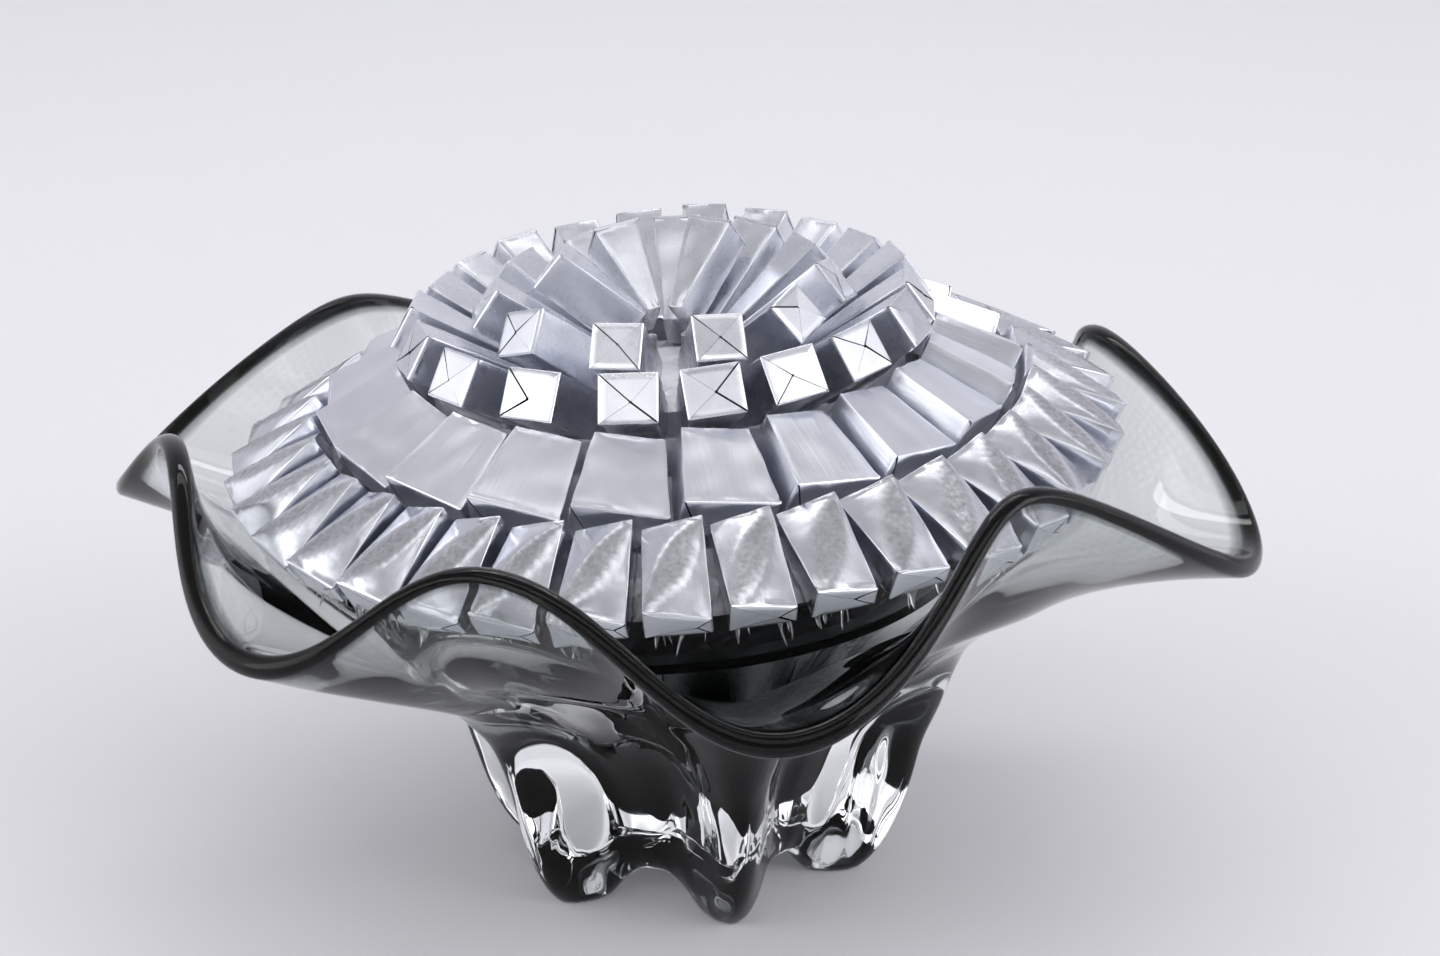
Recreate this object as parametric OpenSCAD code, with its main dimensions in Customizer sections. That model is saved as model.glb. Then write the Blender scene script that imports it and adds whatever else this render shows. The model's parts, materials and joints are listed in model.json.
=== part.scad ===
// Footed bowl of smoke glass cased in clear glass, filled with a mound of foil-wrapped bars.
// The bowl stands on z = 0 and the photographed front faces -Y.

/* [Bowl] */
// Mean reach of the rim where it dips, over a foot
dip_reach = 170; // [166:1:174]
// Mean height of the rim where it dips
dip_height = 114; // [111:1:116]
// Mean reach of the rim where it rises to a crest
crest_reach = 142; // [138:1:148]
// Mean height of the rim at a crest
crest_height = 150; // [146:1:156]
// Thickness of the rounded lip
lip_t = 7.5; // [6:0.5:8.5]
// Thickness of the smoke glass lining in the body
lining_t = 4; // [3:0.25:4.5]
// Thickness of the smoke glass lining in the lobes
lobe_lining_t = 1.5; // [1:0.25:3]
// Thickness of the clear glass casing on the lobes
casing_t = 5; // [3:0.5:6]

/* [Mound] */
// How far the mound leans, right side up
lean_right = 4.6; // [0:0.2:5]
// How far the mound leans, back up
lean_back = 1.4; // [0:0.2:2]
// Sideways shift of the mound in the bowl
mound_shift = -5.5; // [-6:0.5:0]
// Room between the foil bars and what they lie on, filled by glue
glue_gap = 2; // [1.5:0.25:2.5]
// Running room between a bar that pulls off and its glue
pull_gap = 0.3; // [0.2:0.1:0.5]

/* [Skirt bars] */
// Bars in the outer ring
skirt_count = 36; // [30:6:36]
// Width of a skirt bar
skirt_w = 18.4; // [16:0.2:18.8]
// Thickness of a skirt bar along its ridge
skirt_h = 11; // [9:0.5:12]
// Length of a skirt bar
skirt_len = 29; // [26:0.5:30]

/* [Slab bars] */
// Bars in the ring of broad slabs
slab_count = 21; // [18:3:21]
// Thickness of a slab bar
slab_h = 14; // [12:0.5:14.5]
// Length of a slab bar
slab_len = 26; // [23:0.5:26.5]

/* [Ray bars] */
// Width of a ray bar at its outer end
ray_w = 17; // [14:0.5:18]
// Thickness of a ray bar
ray_h = 14.5; // [12:0.5:15]
// Length of a ray bar
ray_len = 44; // [36:1:45]

/* [Crown bars] */
// Width of a crown bar at its outer end
crown_w = 15; // [12:0.5:16]
// Thickness of a crown bar
crown_h = 14; // [12:0.5:14.5]
// Length of a crown bar
crown_len = 38; // [33:1:39]

/* [Heart bars] */
// Width of a heart bar at its outer end
heart_w = 15; // [12:0.5:16]
// Thickness of a heart bar
heart_h = 13.5; // [12:0.5:14]
// Length of a heart bar
heart_len = 31; // [27:1:32]

/* [Hidden] */
lobes = 6;
lobe_turn = 360 / lobes;
// Bearing of the first foot, counted from +X
first_foot = -135;
// The glass is blown by hand: each dip and crest departs from the mean in reach, height and bearing,
// and each lobe's belly is raised or lowered
dip_change = [
    [2, 2, 1, -8], [0, -2, -7, 0], [-1, 0, 0, 7], [-2, 0, 4, 0], [3, 0, -2, 0], [4, 0, 7, 0]
];
crest_change = [[3, -3, -6], [-4, 8, -5], [-3, 1, 8], [-1, 0, 3], [2, -1, 5], [9, -2, 1]];

// Lines down the wall from the axis to the rim, as [reach, height] with the mean rim at these sizes
line_dip = [170, 114];
line_crest = [142, 150];
// Line of the wall in a lobe and in a valley: the lining lies on its inside
wall_lobe = [
    [0, 28], [11, 27.5], [20.5, 28.5], [28.5, 32.5], [35, 40], [41.5, 50], [50, 61],
    [61, 71], [79, 80], [102, 90], [125, 98], [148, 104.5], [168, 110]
];
wall_valley = [
    [0, 28], [10, 28], [19, 29.5], [26.5, 34], [33, 42.5], [41, 54], [55, 68],
    [79, 82], [104, 98.5], [126.5, 111.5], [138, 123.5], [143, 135], [144.5, 146.5]
];
// Outside of the clear glass: the underside, the foot or arch, and the rib or the hollow above it
outer_lobe = [
    [0, 16], [20, 13], [33, 4], [40, -4], [48, -4], [57, 3], [63.5, 14], [68.5, 28],
    [72.5, 43.5], [77.5, 56], [83, 67.5], [90.5, 78.5]
];
outer_valley = [
    [0, 16], [16, 15.5], [27, 13], [34, 10.5], [39.5, 11], [43.5, 17], [46, 27], [49, 39],
    [55, 52], [66, 65], [84, 79.5], [107, 95.5]
];
// Stations of the outside that make the foot, and the wall's station beside the last of them
foot_stations = 8;
foot_wall = 5;
// Station of the wall from which the casing covers it evenly
casing_from = 9;
// Sharpness of the lobes at the foot, in the ribs and at the rim
fold_foot = 1.5;
fold_rib = 3;
fold_rim = 1;
// Edge of the casing below the lip
casing_edge = 0.8;
// Spans of the way from the axis to the rim: where the ribs soften into the rim's waves, a raised belly
// lies, the lining thins, the inside and then the lining grow to the lip, and the casing thins
ribs_soften = [0.35, 0.8];
belly_span = [0.5, 1];
lining_thins = [0.45, 0.62];
inside_grows = [0.8, 1];
lining_grows = [0.86, 1];
casing_thins = [0.6, 1];

columns = 60;
wall_rows = 18;
outer_rows = 23;
lip_steps = 5;

// Tiers of bars, from the skirt inwards and upwards
skirt_room = 12;
skirt_z = 131.5;
slab_in = 32.6;
slab_up = 15.3;
ray_in = 22.4;
ray_up = 27.7;
crown_in = 24;
crown_up = 6.3;
heart_in = 18.5;
heart_up = 7.6;
skirt_rise = -30;
slab_rise = -28;
ray_rise = 32;
crown_rise = 37;
heart_rise = 42;
skirt_first = 0.5;
slab_first = 262;
slab_roll = -13;
// Width that a slab gives up to its roll, at its outer and inner end
slab_roll_room = [1.2, 2];
side_gap = 0.8;
// Share of a skirt bar's thickness at its inner left, inner right, outer left and outer right corner
skirt_corner = [0.68, 1, 1, 0.45];
// Width of the flat facet on a skirt bar, as a share of the bar's
skirt_facet = 0.24;
// The bars as they were set by hand. A ray has its bearing, how far it stands out and how much narrower
// it is, a crown bar its bearing, its roll and how far it stands out, and a heart bar its bearing and roll
ray_set = [
    [176, 1.5, 1], [196, 0, 0], [219, 0.5, 0], [241, 0, 0], [263, 0, 0], [281, 0, 0], [299, 0.5, 0],
    [318, 0, 0], [339, 1, 0], [357, 0, 0.5], [15, 1, 1], [32, 0, 2], [48, 0.5, 2.5], [64, 2, 2.5],
    [80, 3.5, 3], [96, 2.5, 2.5], [112, 1.5, 2.5], [128, 2.5, 2], [144, 1, 2], [160, 0, 1.5]
];
crown_set = [
    [184, 0, 1], [218, 18, 0], [256, 0, 0], [289, -8, 0], [320, 14, 0], [353, -15, 0.5],
    [24, 0, 0], [54, 8, 1], [84, 0, 1.5], [118, -8, 0], [152, 0, 1]
];
heart_set = [[58, 3], [116, -4], [172, 5]];
skirt_groups = 6;
slab_groups = 3;

// Round base of the mound and its foam
disc_r = 86;
disc_t = 3;
rest_gap = 0.1;
foam_foot_r = 80;
foam_neck_z = 112;
hub_r = 31;
glue_r = 3.2;
small_glue_r = 2.2;
// Height of the glue posts that carry the heart bars by their inner ends
post_h = 5;
post_room = 0.6;
// Length of a skirt bar that stands out over the foam, and share of a ray that does
skirt_over = 7;
ray_free = 0.28;
// Place of the glue along a ray, as a share of its length
ray_glue_at = 0.6;

skirt_r = crest_reach - skirt_room;
slab_r = skirt_r - slab_in;
ray_r = slab_r - ray_in;
crown_r = ray_r - crown_in;
heart_r = crown_r - heart_in;
slab_z = skirt_z + slab_up;
ray_z = slab_z + ray_up;
crown_z = ray_z + crown_up;
heart_z = crown_z + heart_up;

// A tier as [outer end reach, outer end height, rise, length, thickness, depth taken by the roll]
slab_dip = 3;
crown_dip = 1;
skirt = [skirt_r, skirt_z, skirt_rise, skirt_len, skirt_h, 0];
slab = [slab_r, slab_z, slab_rise, slab_len, slab_h, slab_dip];
ray = [ray_r, ray_z, ray_rise, ray_len, ray_h, 0];
crown = [crown_r, crown_z, crown_rise, crown_len, crown_h, crown_dip];
heart = [heart_r, heart_z, heart_rise, heart_len, heart_h, 0];

ray_count = len(ray_set);
crown_count = len(crown_set);
heart_count = len(heart_set);

// Reach of a tier's inner end, and the width that a bar may have there among its neighbours
function inner_reach(tier) = tier[0] - tier[3] * cos(tier[2]);
function turn_after(list, i) = (list[(i + 1) % len(list)] - list[i] + 720) % 360;
function least_turn(list) = min([for (i = [0:len(list) - 1]) turn_after(list, i)]);
function room_between(reach, turn) = 2 * reach * tan(turn / 2) - side_gap;

ray_bearing = [for (set = ray_set) set[0]];
crown_bearing = [for (set = crown_set) set[0]];
heart_bearing = [for (set = heart_set) set[0]];
// Reach of the inner end's innermost edge
function inmost(tier) = inner_reach(tier) - tier[4] / 2 * abs(sin(tier[2]));
skirt_inner_w = min(skirt_w, room_between(inmost(skirt), 360 / skirt_count));
slab_w = room_between(slab_r, 360 / slab_count) - slab_roll_room[0];
slab_inner_w = room_between(inner_reach(slab), 360 / slab_count) - slab_roll_room[1];
ray_inner_w = min(ray_w, room_between(inmost(ray), least_turn(ray_bearing)));
crown_inner_w = min(crown_w, room_between(inner_reach(crown) - crown_h / 2, least_turn(crown_bearing)));
heart_inner_w = min(heart_w, room_between(inmost(heart), least_turn(heart_bearing)));

// Curves
function mix(a, b, t) = a + (b - a) * t;
function clamp(v, low, high) = max(low, min(high, v));
function ease(t) = (1 - cos(180 * t)) / 2;
function spline(p, q, r, s, t) =
    q + (r - p) * t / 2 + (2 * p - 5 * q + 4 * r - s) * t * t / 2
    + (3 * q - p - 3 * r + s) * t * t * t / 2;
// Point at station u of a line, smooth through its stations
function along(line, u) =
    let (
        last = len(line) - 1,
        i = clamp(floor(u), 0, last - 1),
        before = i > 0 ? line[i - 1] : [-line[1][0], line[1][1]],
        after = i + 2 <= last ? line[i + 2] : 2 * line[last] - line[last - 1]
    )
    spline(before, line[i], line[i + 1], after, u - i);

// Waves of the bowl: q counts lobes, with a lobe at each whole number and a valley halfway
function lobe_share(q) = (1 + cos(360 * q)) / 2;
function dip_at(q, item) =
    let (k = floor(q))
    mix(dip_change[k % lobes][item], dip_change[(k + 1) % lobes][item], ease(q - k));
function crest_at(q, item) =
    let (k = floor(q + 0.5) + lobes - 1)
    mix(crest_change[k % lobes][item], crest_change[(k + 1) % lobes][item], ease(q + 0.5 - floor(q + 0.5)));
function dip_scale(q) =
    [(dip_reach + dip_at(q, 0)) / line_dip[0], (dip_height + dip_at(q, 1)) / line_dip[1]];
function crest_scale(q) =
    [(crest_reach + crest_at(q, 0)) / line_crest[0], (crest_height + crest_at(q, 1)) / line_crest[1]];
// Heights near the axis keep their size and those at the rim follow the rim
function sized(point, scale, t) = [point[0] * mix(1, scale[0], t), point[1] * mix(1, scale[1], t)];
// Bearing at wave place q, turning from the foot's to the rim's with t
function bearing(q, t) =
    first_foot + lobe_turn * q + ease(t) * mix(crest_at(q, 2), dip_at(q, 2), lobe_share(q));
// Share of the way through a span, held to 0 and 1
function share(v, span) = clamp((v - span[0]) / (span[1] - span[0]), 0, 1);
// Part of the wall that a raised or lowered belly takes in, between the foot and the rim
function belly(t) = sin(180 * share(t, belly_span));
// Meridian point between a valley's point and a lobe's at wave place q, with lobes of a sharpness
function folded(q, valley, lobe, t, sharpness) =
    mix(
        sized(valley, crest_scale(q), t),
        sized(lobe, dip_scale(q), t) + [0, dip_at(q, 3) * belly(t)],
        pow(lobe_share(q), sharpness)
    );
function wall_fold(t) = mix(fold_rib, fold_rim, ease(share(t, ribs_soften)));

wall_last = len(wall_lobe) - 1;
function wall_point(q, u) =
    folded(q, along(wall_valley, u), along(wall_lobe, u), u / wall_last, wall_fold(u / wall_last));
// Direction from the wall's line into the bowl
function wall_normal(q, u) =
    let (
        step = 0.25,
        run = wall_point(q, min(u + step, wall_last)) - wall_point(q, max(u - step, 0)),
        flat = u == 0 ? [1, 0] : run / norm(run)
    )
    [-flat[1], flat[0]];
// Distance of the bowl's inside from the line, and the part of it that is smoke glass
function inside_at(t) = mix(lining_t, lip_t, ease(share(t, inside_grows)));
function smoke_at(t) =
    mix(mix(lining_t, lobe_lining_t, ease(share(t, lining_thins))), lip_t, ease(share(t, lining_grows)));
function casing_at(t) = mix(casing_t, casing_edge, ease(share(t, casing_thins)));
function off_wall(q, u, distance) = wall_point(q, u) + wall_normal(q, u) * distance;
function inner_point(q, u) = off_wall(q, u, inside_at(u / wall_last));
// The face where smoke glass and clear glass are fused
function fused_point(q, u) = off_wall(q, u, inside_at(u / wall_last) - smoke_at(u / wall_last));
function casing_point(q, u) = off_wall(q, u, -casing_at(u / wall_last));
// Half round of the lip, from the inside over to the outside
function lip_point(q, step) =
    let (
        n = wall_normal(q, wall_last),
        outward = [n[1], -n[0]],
        turn = 180 * step / lip_steps
    )
    wall_point(q, wall_last) + lip_t / 2 * (n * (1 + cos(turn)) + outward * sin(turn));
// Outer face of the glass: foot and rib first, then the casing over the wall
outer_last = len(outer_lobe) + wall_last - casing_from;
function outer_share(u) =
    let (first = foot_wall / wall_last)
    first * share(u, [0, foot_stations]) + (1 - first) * share(u, [foot_stations, outer_last]);
function foot_fold(u) = mix(fold_foot, fold_rib, ease(share(u, [foot_stations / 2, foot_stations])));
function outer_station(q, i) =
    i < foot_stations
        ? folded(q, outer_valley[i], outer_lobe[i], 0, foot_fold(i))
        : folded(q, outer_valley[i], outer_lobe[i], outer_share(i), wall_fold(outer_share(i)));
function outer_line(q) = concat(
    [for (i = [0:len(outer_lobe) - 1]) outer_station(q, i)],
    [for (i = [casing_from:wall_last]) casing_point(q, i)]
);

// Columns of the mesh and points in space
function place(q) = lobes * q / columns;
function in_space(point, turn) =
    [point[0] * cos(turn) + bowl_axis[0], point[0] * sin(turn) + bowl_axis[1], max(0, point[1])];
function fused_ring(u) =
    [for (c = [0:columns - 1]) in_space(fused_point(place(c), u), bearing(place(c), u / wall_last))];
function inner_ring(u) =
    [for (c = [0:columns - 1]) in_space(inner_point(place(c), u), bearing(place(c), u / wall_last))];
function lip_ring(step) =
    [for (c = [0:columns - 1]) in_space(lip_point(place(c), step), bearing(place(c), 1))];
// The outer face takes the wall's bearings
function outer_ring(u) =
    [for (c = [0:columns - 1]) in_space(along(outer_line(place(c)), u), bearing(place(c), outer_share(u)))];
function axis_point(height) = [bowl_axis[0], bowl_axis[1], height];

// The part's box is centred on the origin, so the bowl's own axis stands a little off it
rim_reach = [for (c = [0:columns - 1])
    let (q = place(c), reach = lip_point(q, lip_steps / 2)[0], turn = bearing(q, 1))
    reach * [cos(turn), sin(turn)]];
rim_x = [for (p = rim_reach) p[0]];
rim_y = [for (p = rim_reach) p[1]];
bowl_axis = [-(max(rim_x) + min(rim_x)) / 2, -(max(rim_y) + min(rim_y)) / 2];

// The disc leans with the mound and rests on the inside of the wall, near this share of the way to the rim
rest_share = 0.65;
// Height from the disc up to the point about which the mound leans, which swings the disc sideways
disc_below = 50;
disc_shift = [mound_shift + disc_below * sin(lean_right), disc_below * sin(lean_back)];
function disc_lift(turn) = disc_r * (sin(lean_right) * cos(turn) + sin(lean_back) * sin(turn));
function wall_height(q, reach) = lookup(reach, [for (u = [0:0.25:wall_last]) inner_point(q, u)]);
disc_z = rest_gap + max([for (c = [0:columns - 1])
    let (q = place(c), turn = bearing(q, rest_share))
    wall_height(q, disc_r + disc_shift * [cos(turn), sin(turn)]) - disc_lift(turn)]);
foam_z = disc_z + disc_t;
pivot_z = 150;

// Point of the foam below a tier, at a distance from the outer end; a tier of rolled bars lies deeper
function under(tier, distance) =
    let (down = tier[4] / 2 + glue_gap + tier[5])
    [
        tier[0] - distance * cos(tier[2]) + down * sin(tier[2]),
        tier[1] - distance * sin(tier[2]) - down * cos(tier[2])
    ];

// Lowest corner of a heart bar's inner end, and the top of the foam hub below it
heart_low = [
    inner_reach(heart) + heart_h / 2 * sin(heart_rise),
    heart_z - heart_len * sin(heart_rise) - heart_h / 2 * cos(heart_rise)
];
hub_top = heart_low[1] - post_room - post_h;

function two_digits(i) = i < 10 ? str("0", i) : str(i);
function numbered(stem, count) = [for (i = [1:count]) str(stem, two_digits(i))];

// Closed skin through rings of points, capped by a point at each end. Rings that run up the outside
// need no turning; rings that run up the inside first are turned so that the skin still faces outwards
module closed_skin(start, rings, end, turned) {
    n = len(rings[0]);
    rows = len(rings);
    points = concat([start], [for (ring = rings) each ring], [end]);
    tip = len(points) - 1;
    start_cap = [for (i = [0:n - 1]) [0, 1 + i, 1 + (i + 1) % n]];
    end_cap = [for (i = [0:n - 1])
        [tip, 1 + (rows - 1) * n + (i + 1) % n, 1 + (rows - 1) * n + i]];
    sides = [for (r = [0:rows - 2], i = [0:n - 1])
        let (
            a = 1 + r * n + i,
            b = 1 + r * n + (i + 1) % n
        )
        each [[a, a + n, b], [b, a + n, b + n]]];
    faces = concat(start_cap, sides, end_cap);
    polyhedron(points, turned ? [for (f = faces) [f[2], f[1], f[0]]] : faces);
}

module in_mound() {
    translate([bowl_axis[0] + mound_shift, bowl_axis[1], pivot_z])
        rotate([lean_back, 0, 0])
            rotate([0, -lean_right, 0])
                translate([0, 0, -pivot_z])
                    children();
}

// Sets a bar with its outer end at the tier's ring, or out from it, and its length running inwards along -X
module on_tier(tier, turn, roll = 0, out = 0) {
    rotate([0, 0, turn])
        translate([tier[0], 0, tier[1]])
            rotate([0, -tier[2], 0])
                rotate([roll, 0, 0])
                    translate([out, 0, 0])
                        children();
}

// Wrapped bar of even thickness, narrower at its inner end, with its corners broken
module wrapped_bar(tier, outer_w, inner_w) {
    cut = 0.6;
    length = tier[3];
    half = [outer_w / 2, inner_w / 2];
    translate([0, 0, -tier[4] / 2])
        linear_extrude(tier[4])
            polygon([
                [0, -half[0] + cut], [0, half[0] - cut], [-cut, half[0]],
                [cut - length, half[1]], [-length, half[1] - cut],
                [-length, cut - half[1]], [cut - length, -half[1]], [-cut, -half[0]]
            ]);
}

// Skirt bar: a flat facet crosses its top from the inner right corner to the outer left corner
module skirt_bar() {
    low = -skirt_h / 2;
    outer_half = skirt_w / 2;
    inner_half = skirt_inner_w / 2;
    inner = -skirt_len;
    tops = [for (part = skirt_corner) low + skirt_h * part];
    // Corners of the facet halfway along the bar
    facet_left = [inner * (1 + skirt_facet) / 2, -skirt_facet * outer_half, low + skirt_h];
    facet_right = [inner * (1 - skirt_facet) / 2, skirt_facet * outer_half, low + skirt_h];
    polyhedron(
        [
            [inner, -inner_half, low], [inner, inner_half, low], [0, -outer_half, low], [0, outer_half, low],
            [inner, -inner_half, tops[0]], [inner, inner_half, tops[1]],
            [0, -outer_half, tops[2]], [0, outer_half, tops[3]], facet_left, facet_right
        ],
        [
            [0, 2, 3, 1], [0, 1, 5, 4], [2, 6, 7, 3], [0, 4, 6, 2], [1, 3, 7, 5],
            [4, 5, 8], [4, 8, 6], [5, 6, 8], [5, 9, 6], [5, 7, 9], [9, 7, 6]
        ]
    );
}

// Dot of glue under a bar, sunk into the foam; room is what it leaves below the bar
module glue_dot(tier, back, room, radius = glue_r) {
    sunk = 1.5;
    depth = glue_gap + tier[5] + sunk;
    translate([-back, 0, -tier[4] / 2 - depth])
        cylinder(r = radius, h = depth - room, $fn = 32);
}

module clear_glass_casing() {
    rings = concat(
        [for (r = [1:wall_rows]) fused_ring(wall_last * r / wall_rows)],
        [for (r = [0:outer_rows - 1]) outer_ring(outer_last * (1 - r / outer_rows))]
    );
    color("whitesmoke", 0.4)
        closed_skin(axis_point(wall_lobe[0][1]), rings, axis_point(outer_lobe[0][1]), true);
}

module smoke_glass_lining() {
    rings = concat(
        [for (r = [1:wall_rows]) fused_ring(wall_last * r / wall_rows)],
        [for (step = [1:lip_steps - 1]) lip_ring(lip_steps - step)],
        [for (r = [0:wall_rows - 1]) inner_ring(wall_last * (1 - r / wall_rows))]
    );
    color("dimgray", 0.7)
        closed_skin(axis_point(wall_lobe[0][1]), rings, axis_point(wall_lobe[0][1] + lining_t), false);
}

module support_disc() {
    color("gainsboro")
        in_mound() translate([0, 0, disc_z]) cylinder(r = disc_r, h = disc_t, $fn = 96);
}

// Foam ring that carries the skirt, slab and ray bars; it stands back below the skirt
module foam_base() {
    floor_point = under(ray, ray_len);
    outline = [
        [0, foam_z], [foam_foot_r, foam_z], [foam_foot_r, foam_neck_z],
        under(skirt, skirt_over), under(skirt, skirt_len),
        under(slab, 0), under(slab, slab_len),
        under(ray, ray_len * ray_free), floor_point, [0, floor_point[1]]
    ];
    color("slategray") in_mound() rotate_extrude($fn = 96) polygon(outline);
}

// Foam hub in the middle, under the crown bars and between the inner ends of the heart bars
module foam_hub() {
    floor_z = under(ray, ray_len)[1];
    reach_in = (under(crown, 0)[0] - hub_r) / cos(crown_rise);
    outline = [
        [0, floor_z], [hub_r, floor_z], under(crown, reach_in), under(crown, crown_len),
        [heart_low[0], hub_top], [0, hub_top]
    ];
    color("slategray") in_mound() rotate_extrude($fn = 64) polygon(outline);
}

module skirt_glue() {
    color("gainsboro", 0.5) in_mound()
        for (i = [0:skirt_count - 1])
            on_tier(skirt, skirt_first + 360 * i / skirt_count) glue_dot(skirt, skirt_len / 2, 0);
}

module slab_glue() {
    color("gainsboro", 0.5) in_mound()
        for (i = [0:slab_count - 1])
            on_tier(slab, slab_first + 360 * i / slab_count, slab_roll) glue_dot(slab, slab_len / 2, 0);
}

module ray_glue() {
    color("gainsboro", 0.5) in_mound()
        for (set = ray_set)
            on_tier(ray, set[0], 0, set[1]) glue_dot(ray, ray_len * ray_glue_at, pull_gap);
}

module crown_glue() {
    color("gainsboro", 0.5) in_mound()
        for (set = crown_set)
            on_tier(crown, set[0], set[1], set[2])
                glue_dot(crown, crown_len - small_glue_r, pull_gap, small_glue_r);
}

module heart_glue() {
    sunk = 1;
    color("gainsboro", 0.5) in_mound()
        for (set = heart_set)
            rotate([0, 0, set[0]])
                translate([heart_low[0] - small_glue_r, 0, hub_top - sunk])
                    cylinder(r = small_glue_r, h = post_h + sunk, $fn = 32);
}

module skirt_bars(group) {
    each_group = skirt_count / skirt_groups;
    color("silver") in_mound()
        for (i = [0:each_group - 1])
            on_tier(skirt, skirt_first + 360 * (group * each_group + i) / skirt_count) skirt_bar();
}

module slab_bars(group) {
    each_group = slab_count / slab_groups;
    color("silver") in_mound()
        for (i = [0:each_group - 1])
            on_tier(slab, slab_first + 360 * (group * each_group + i) / slab_count, slab_roll)
                wrapped_bar(slab, slab_w, slab_inner_w);
}

module ray_bar(i) {
    color("silver") in_mound()
        on_tier(ray, ray_set[i][0], 0, ray_set[i][1])
            wrapped_bar(ray, ray_w - ray_set[i][2], min(ray_inner_w, ray_w - ray_set[i][2]));
}

module crown_bar(i) {
    color("silver") in_mound()
        on_tier(crown, crown_set[i][0], crown_set[i][1], crown_set[i][2])
            wrapped_bar(crown, crown_w, crown_inner_w);
}

module heart_bar(i) {
    color("silver") in_mound()
        on_tier(heart, heart_set[i][0], heart_set[i][1]) wrapped_bar(heart, heart_w, heart_inner_w);
}

clear_glass_casing();
smoke_glass_lining();
support_disc();
foam_base();
foam_hub();
skirt_glue();
slab_glue();
ray_glue();
crown_glue();
heart_glue();
for (i = [1:skirt_groups])
    skirt_bars(i - 1);
for (i = [1:slab_groups])
    slab_bars(i - 1);
for (i = [1:ray_count])
    ray_bar(i - 1);
for (i = [1:crown_count])
    crown_bar(i - 1);
for (i = [1:heart_count])
    heart_bar(i - 1);
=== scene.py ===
"""Looks of the bowl centrepiece: a footed bowl of cased smoke glass with a mound of foil-wrapped bars.

Sizes are in millimetres, in the frame of the CAD model, until a mesh is written in metres.
"""
import json
import logging
import math
import random
from collections.abc import Callable
from dataclasses import dataclass, replace
from enum import Enum
from functools import lru_cache
from typing import ClassVar

import bpy
import numpy as np
from mathutils import Matrix, Vector
from mathutils.bvhtree import BVHTree

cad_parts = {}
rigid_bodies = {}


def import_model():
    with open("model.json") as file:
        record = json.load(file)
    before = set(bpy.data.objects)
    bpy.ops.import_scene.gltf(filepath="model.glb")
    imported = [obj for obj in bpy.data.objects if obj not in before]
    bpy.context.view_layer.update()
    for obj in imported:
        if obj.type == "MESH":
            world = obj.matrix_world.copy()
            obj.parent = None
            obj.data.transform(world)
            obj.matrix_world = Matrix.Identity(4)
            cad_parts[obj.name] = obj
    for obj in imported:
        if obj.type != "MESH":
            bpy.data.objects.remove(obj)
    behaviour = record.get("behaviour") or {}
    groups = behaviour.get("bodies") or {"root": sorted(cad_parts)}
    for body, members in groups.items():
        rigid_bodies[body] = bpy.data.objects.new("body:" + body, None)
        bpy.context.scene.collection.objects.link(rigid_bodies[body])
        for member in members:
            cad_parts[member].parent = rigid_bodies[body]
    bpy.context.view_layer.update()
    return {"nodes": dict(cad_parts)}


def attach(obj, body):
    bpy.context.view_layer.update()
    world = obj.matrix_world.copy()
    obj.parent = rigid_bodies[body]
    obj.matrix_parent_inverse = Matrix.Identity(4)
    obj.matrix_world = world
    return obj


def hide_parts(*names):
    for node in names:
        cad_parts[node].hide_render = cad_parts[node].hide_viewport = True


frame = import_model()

LOG = logging.getLogger("centrepiece")
MM = 0.001
WRAP = "wrap_mm"
# Mask of painted shade under the folds of the foil
PAINTED_SHADE = "painted_shade_under_folds"
PATCH = "dull_patch"
# Columns of the tables of changes in the bowl's lobes
REACH, HEIGHT, TURN, BELLY, SMOKE = range(5)
Faces = list[tuple[int, ...]]
Colour = tuple[float, float, float]
Pair = tuple[float, float]
Triple = tuple[float, float, float]
Number = float | np.ndarray
Changes = Callable[[int], np.ndarray]
Value = bpy.types.NodeSocket | float | Colour


def mix(a: Number, b: Number, t: Number) -> Number:
    """Value between a and b at share t, for numbers and arrays."""
    return a + (b - a) * t


def ease(t: Number) -> Number:
    """Smooth step from 0 to 1, for numbers and arrays."""
    return (1 - np.cos(np.pi * t)) / 2


def share(value: float, low: float, high: float) -> float:
    """Where value lies between low and high, held to 0 and 1."""
    return min(1.0, max(0.0, (value - low) / (high - low)))


def along(stations: np.ndarray, u: float) -> np.ndarray:
    """Point at station u of a line from the axis to the rim, smooth through its stations.

    Args:
        stations: Points as [reach, height], with a middle axis for columns where they differ.
        u: Station, whole at a given point.

    Returns:
        The point, or one point for each column.
    """
    last = len(stations) - 1
    i = min(max(int(u), 0), last - 1)
    t = u - i
    before = stations[i - 1] if i > 0 else stations[1] * [-1, 1]
    after = stations[i + 2] if i + 2 <= last else 2 * stations[last] - stations[last - 1]
    here, there = stations[i], stations[i + 1]
    return (
        here
        + (there - before) * t / 2
        + (2 * before - 5 * here + 4 * there - after) * t**2 / 2
        + (3 * here - before - 3 * there + after) * t**3 / 2
    )


def mesh_piece(
    name: str, points: np.ndarray, faces: Faces, smooth: list[bool] | bool = True,
) -> bpy.types.Object:
    """A mesh object in the scene from points in millimetres.

    Args:
        name: Name of the piece.
        points: Points in the part's frame.
        faces: Corners of each face.
        smooth: Whether faces are shaded smooth, for all of them or one by one.

    Returns:
        The new object.
    """
    mesh = bpy.data.meshes.new(name)
    mesh.from_pydata((np.asarray(points) * MM).tolist(), [], faces)
    flags = [smooth] * len(faces) if isinstance(smooth, bool) else smooth
    mesh.polygons.foreach_set("use_smooth", flags)
    mesh.update()
    piece = bpy.data.objects.new(name, mesh)
    bpy.context.scene.collection.objects.link(piece)
    return piece


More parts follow.
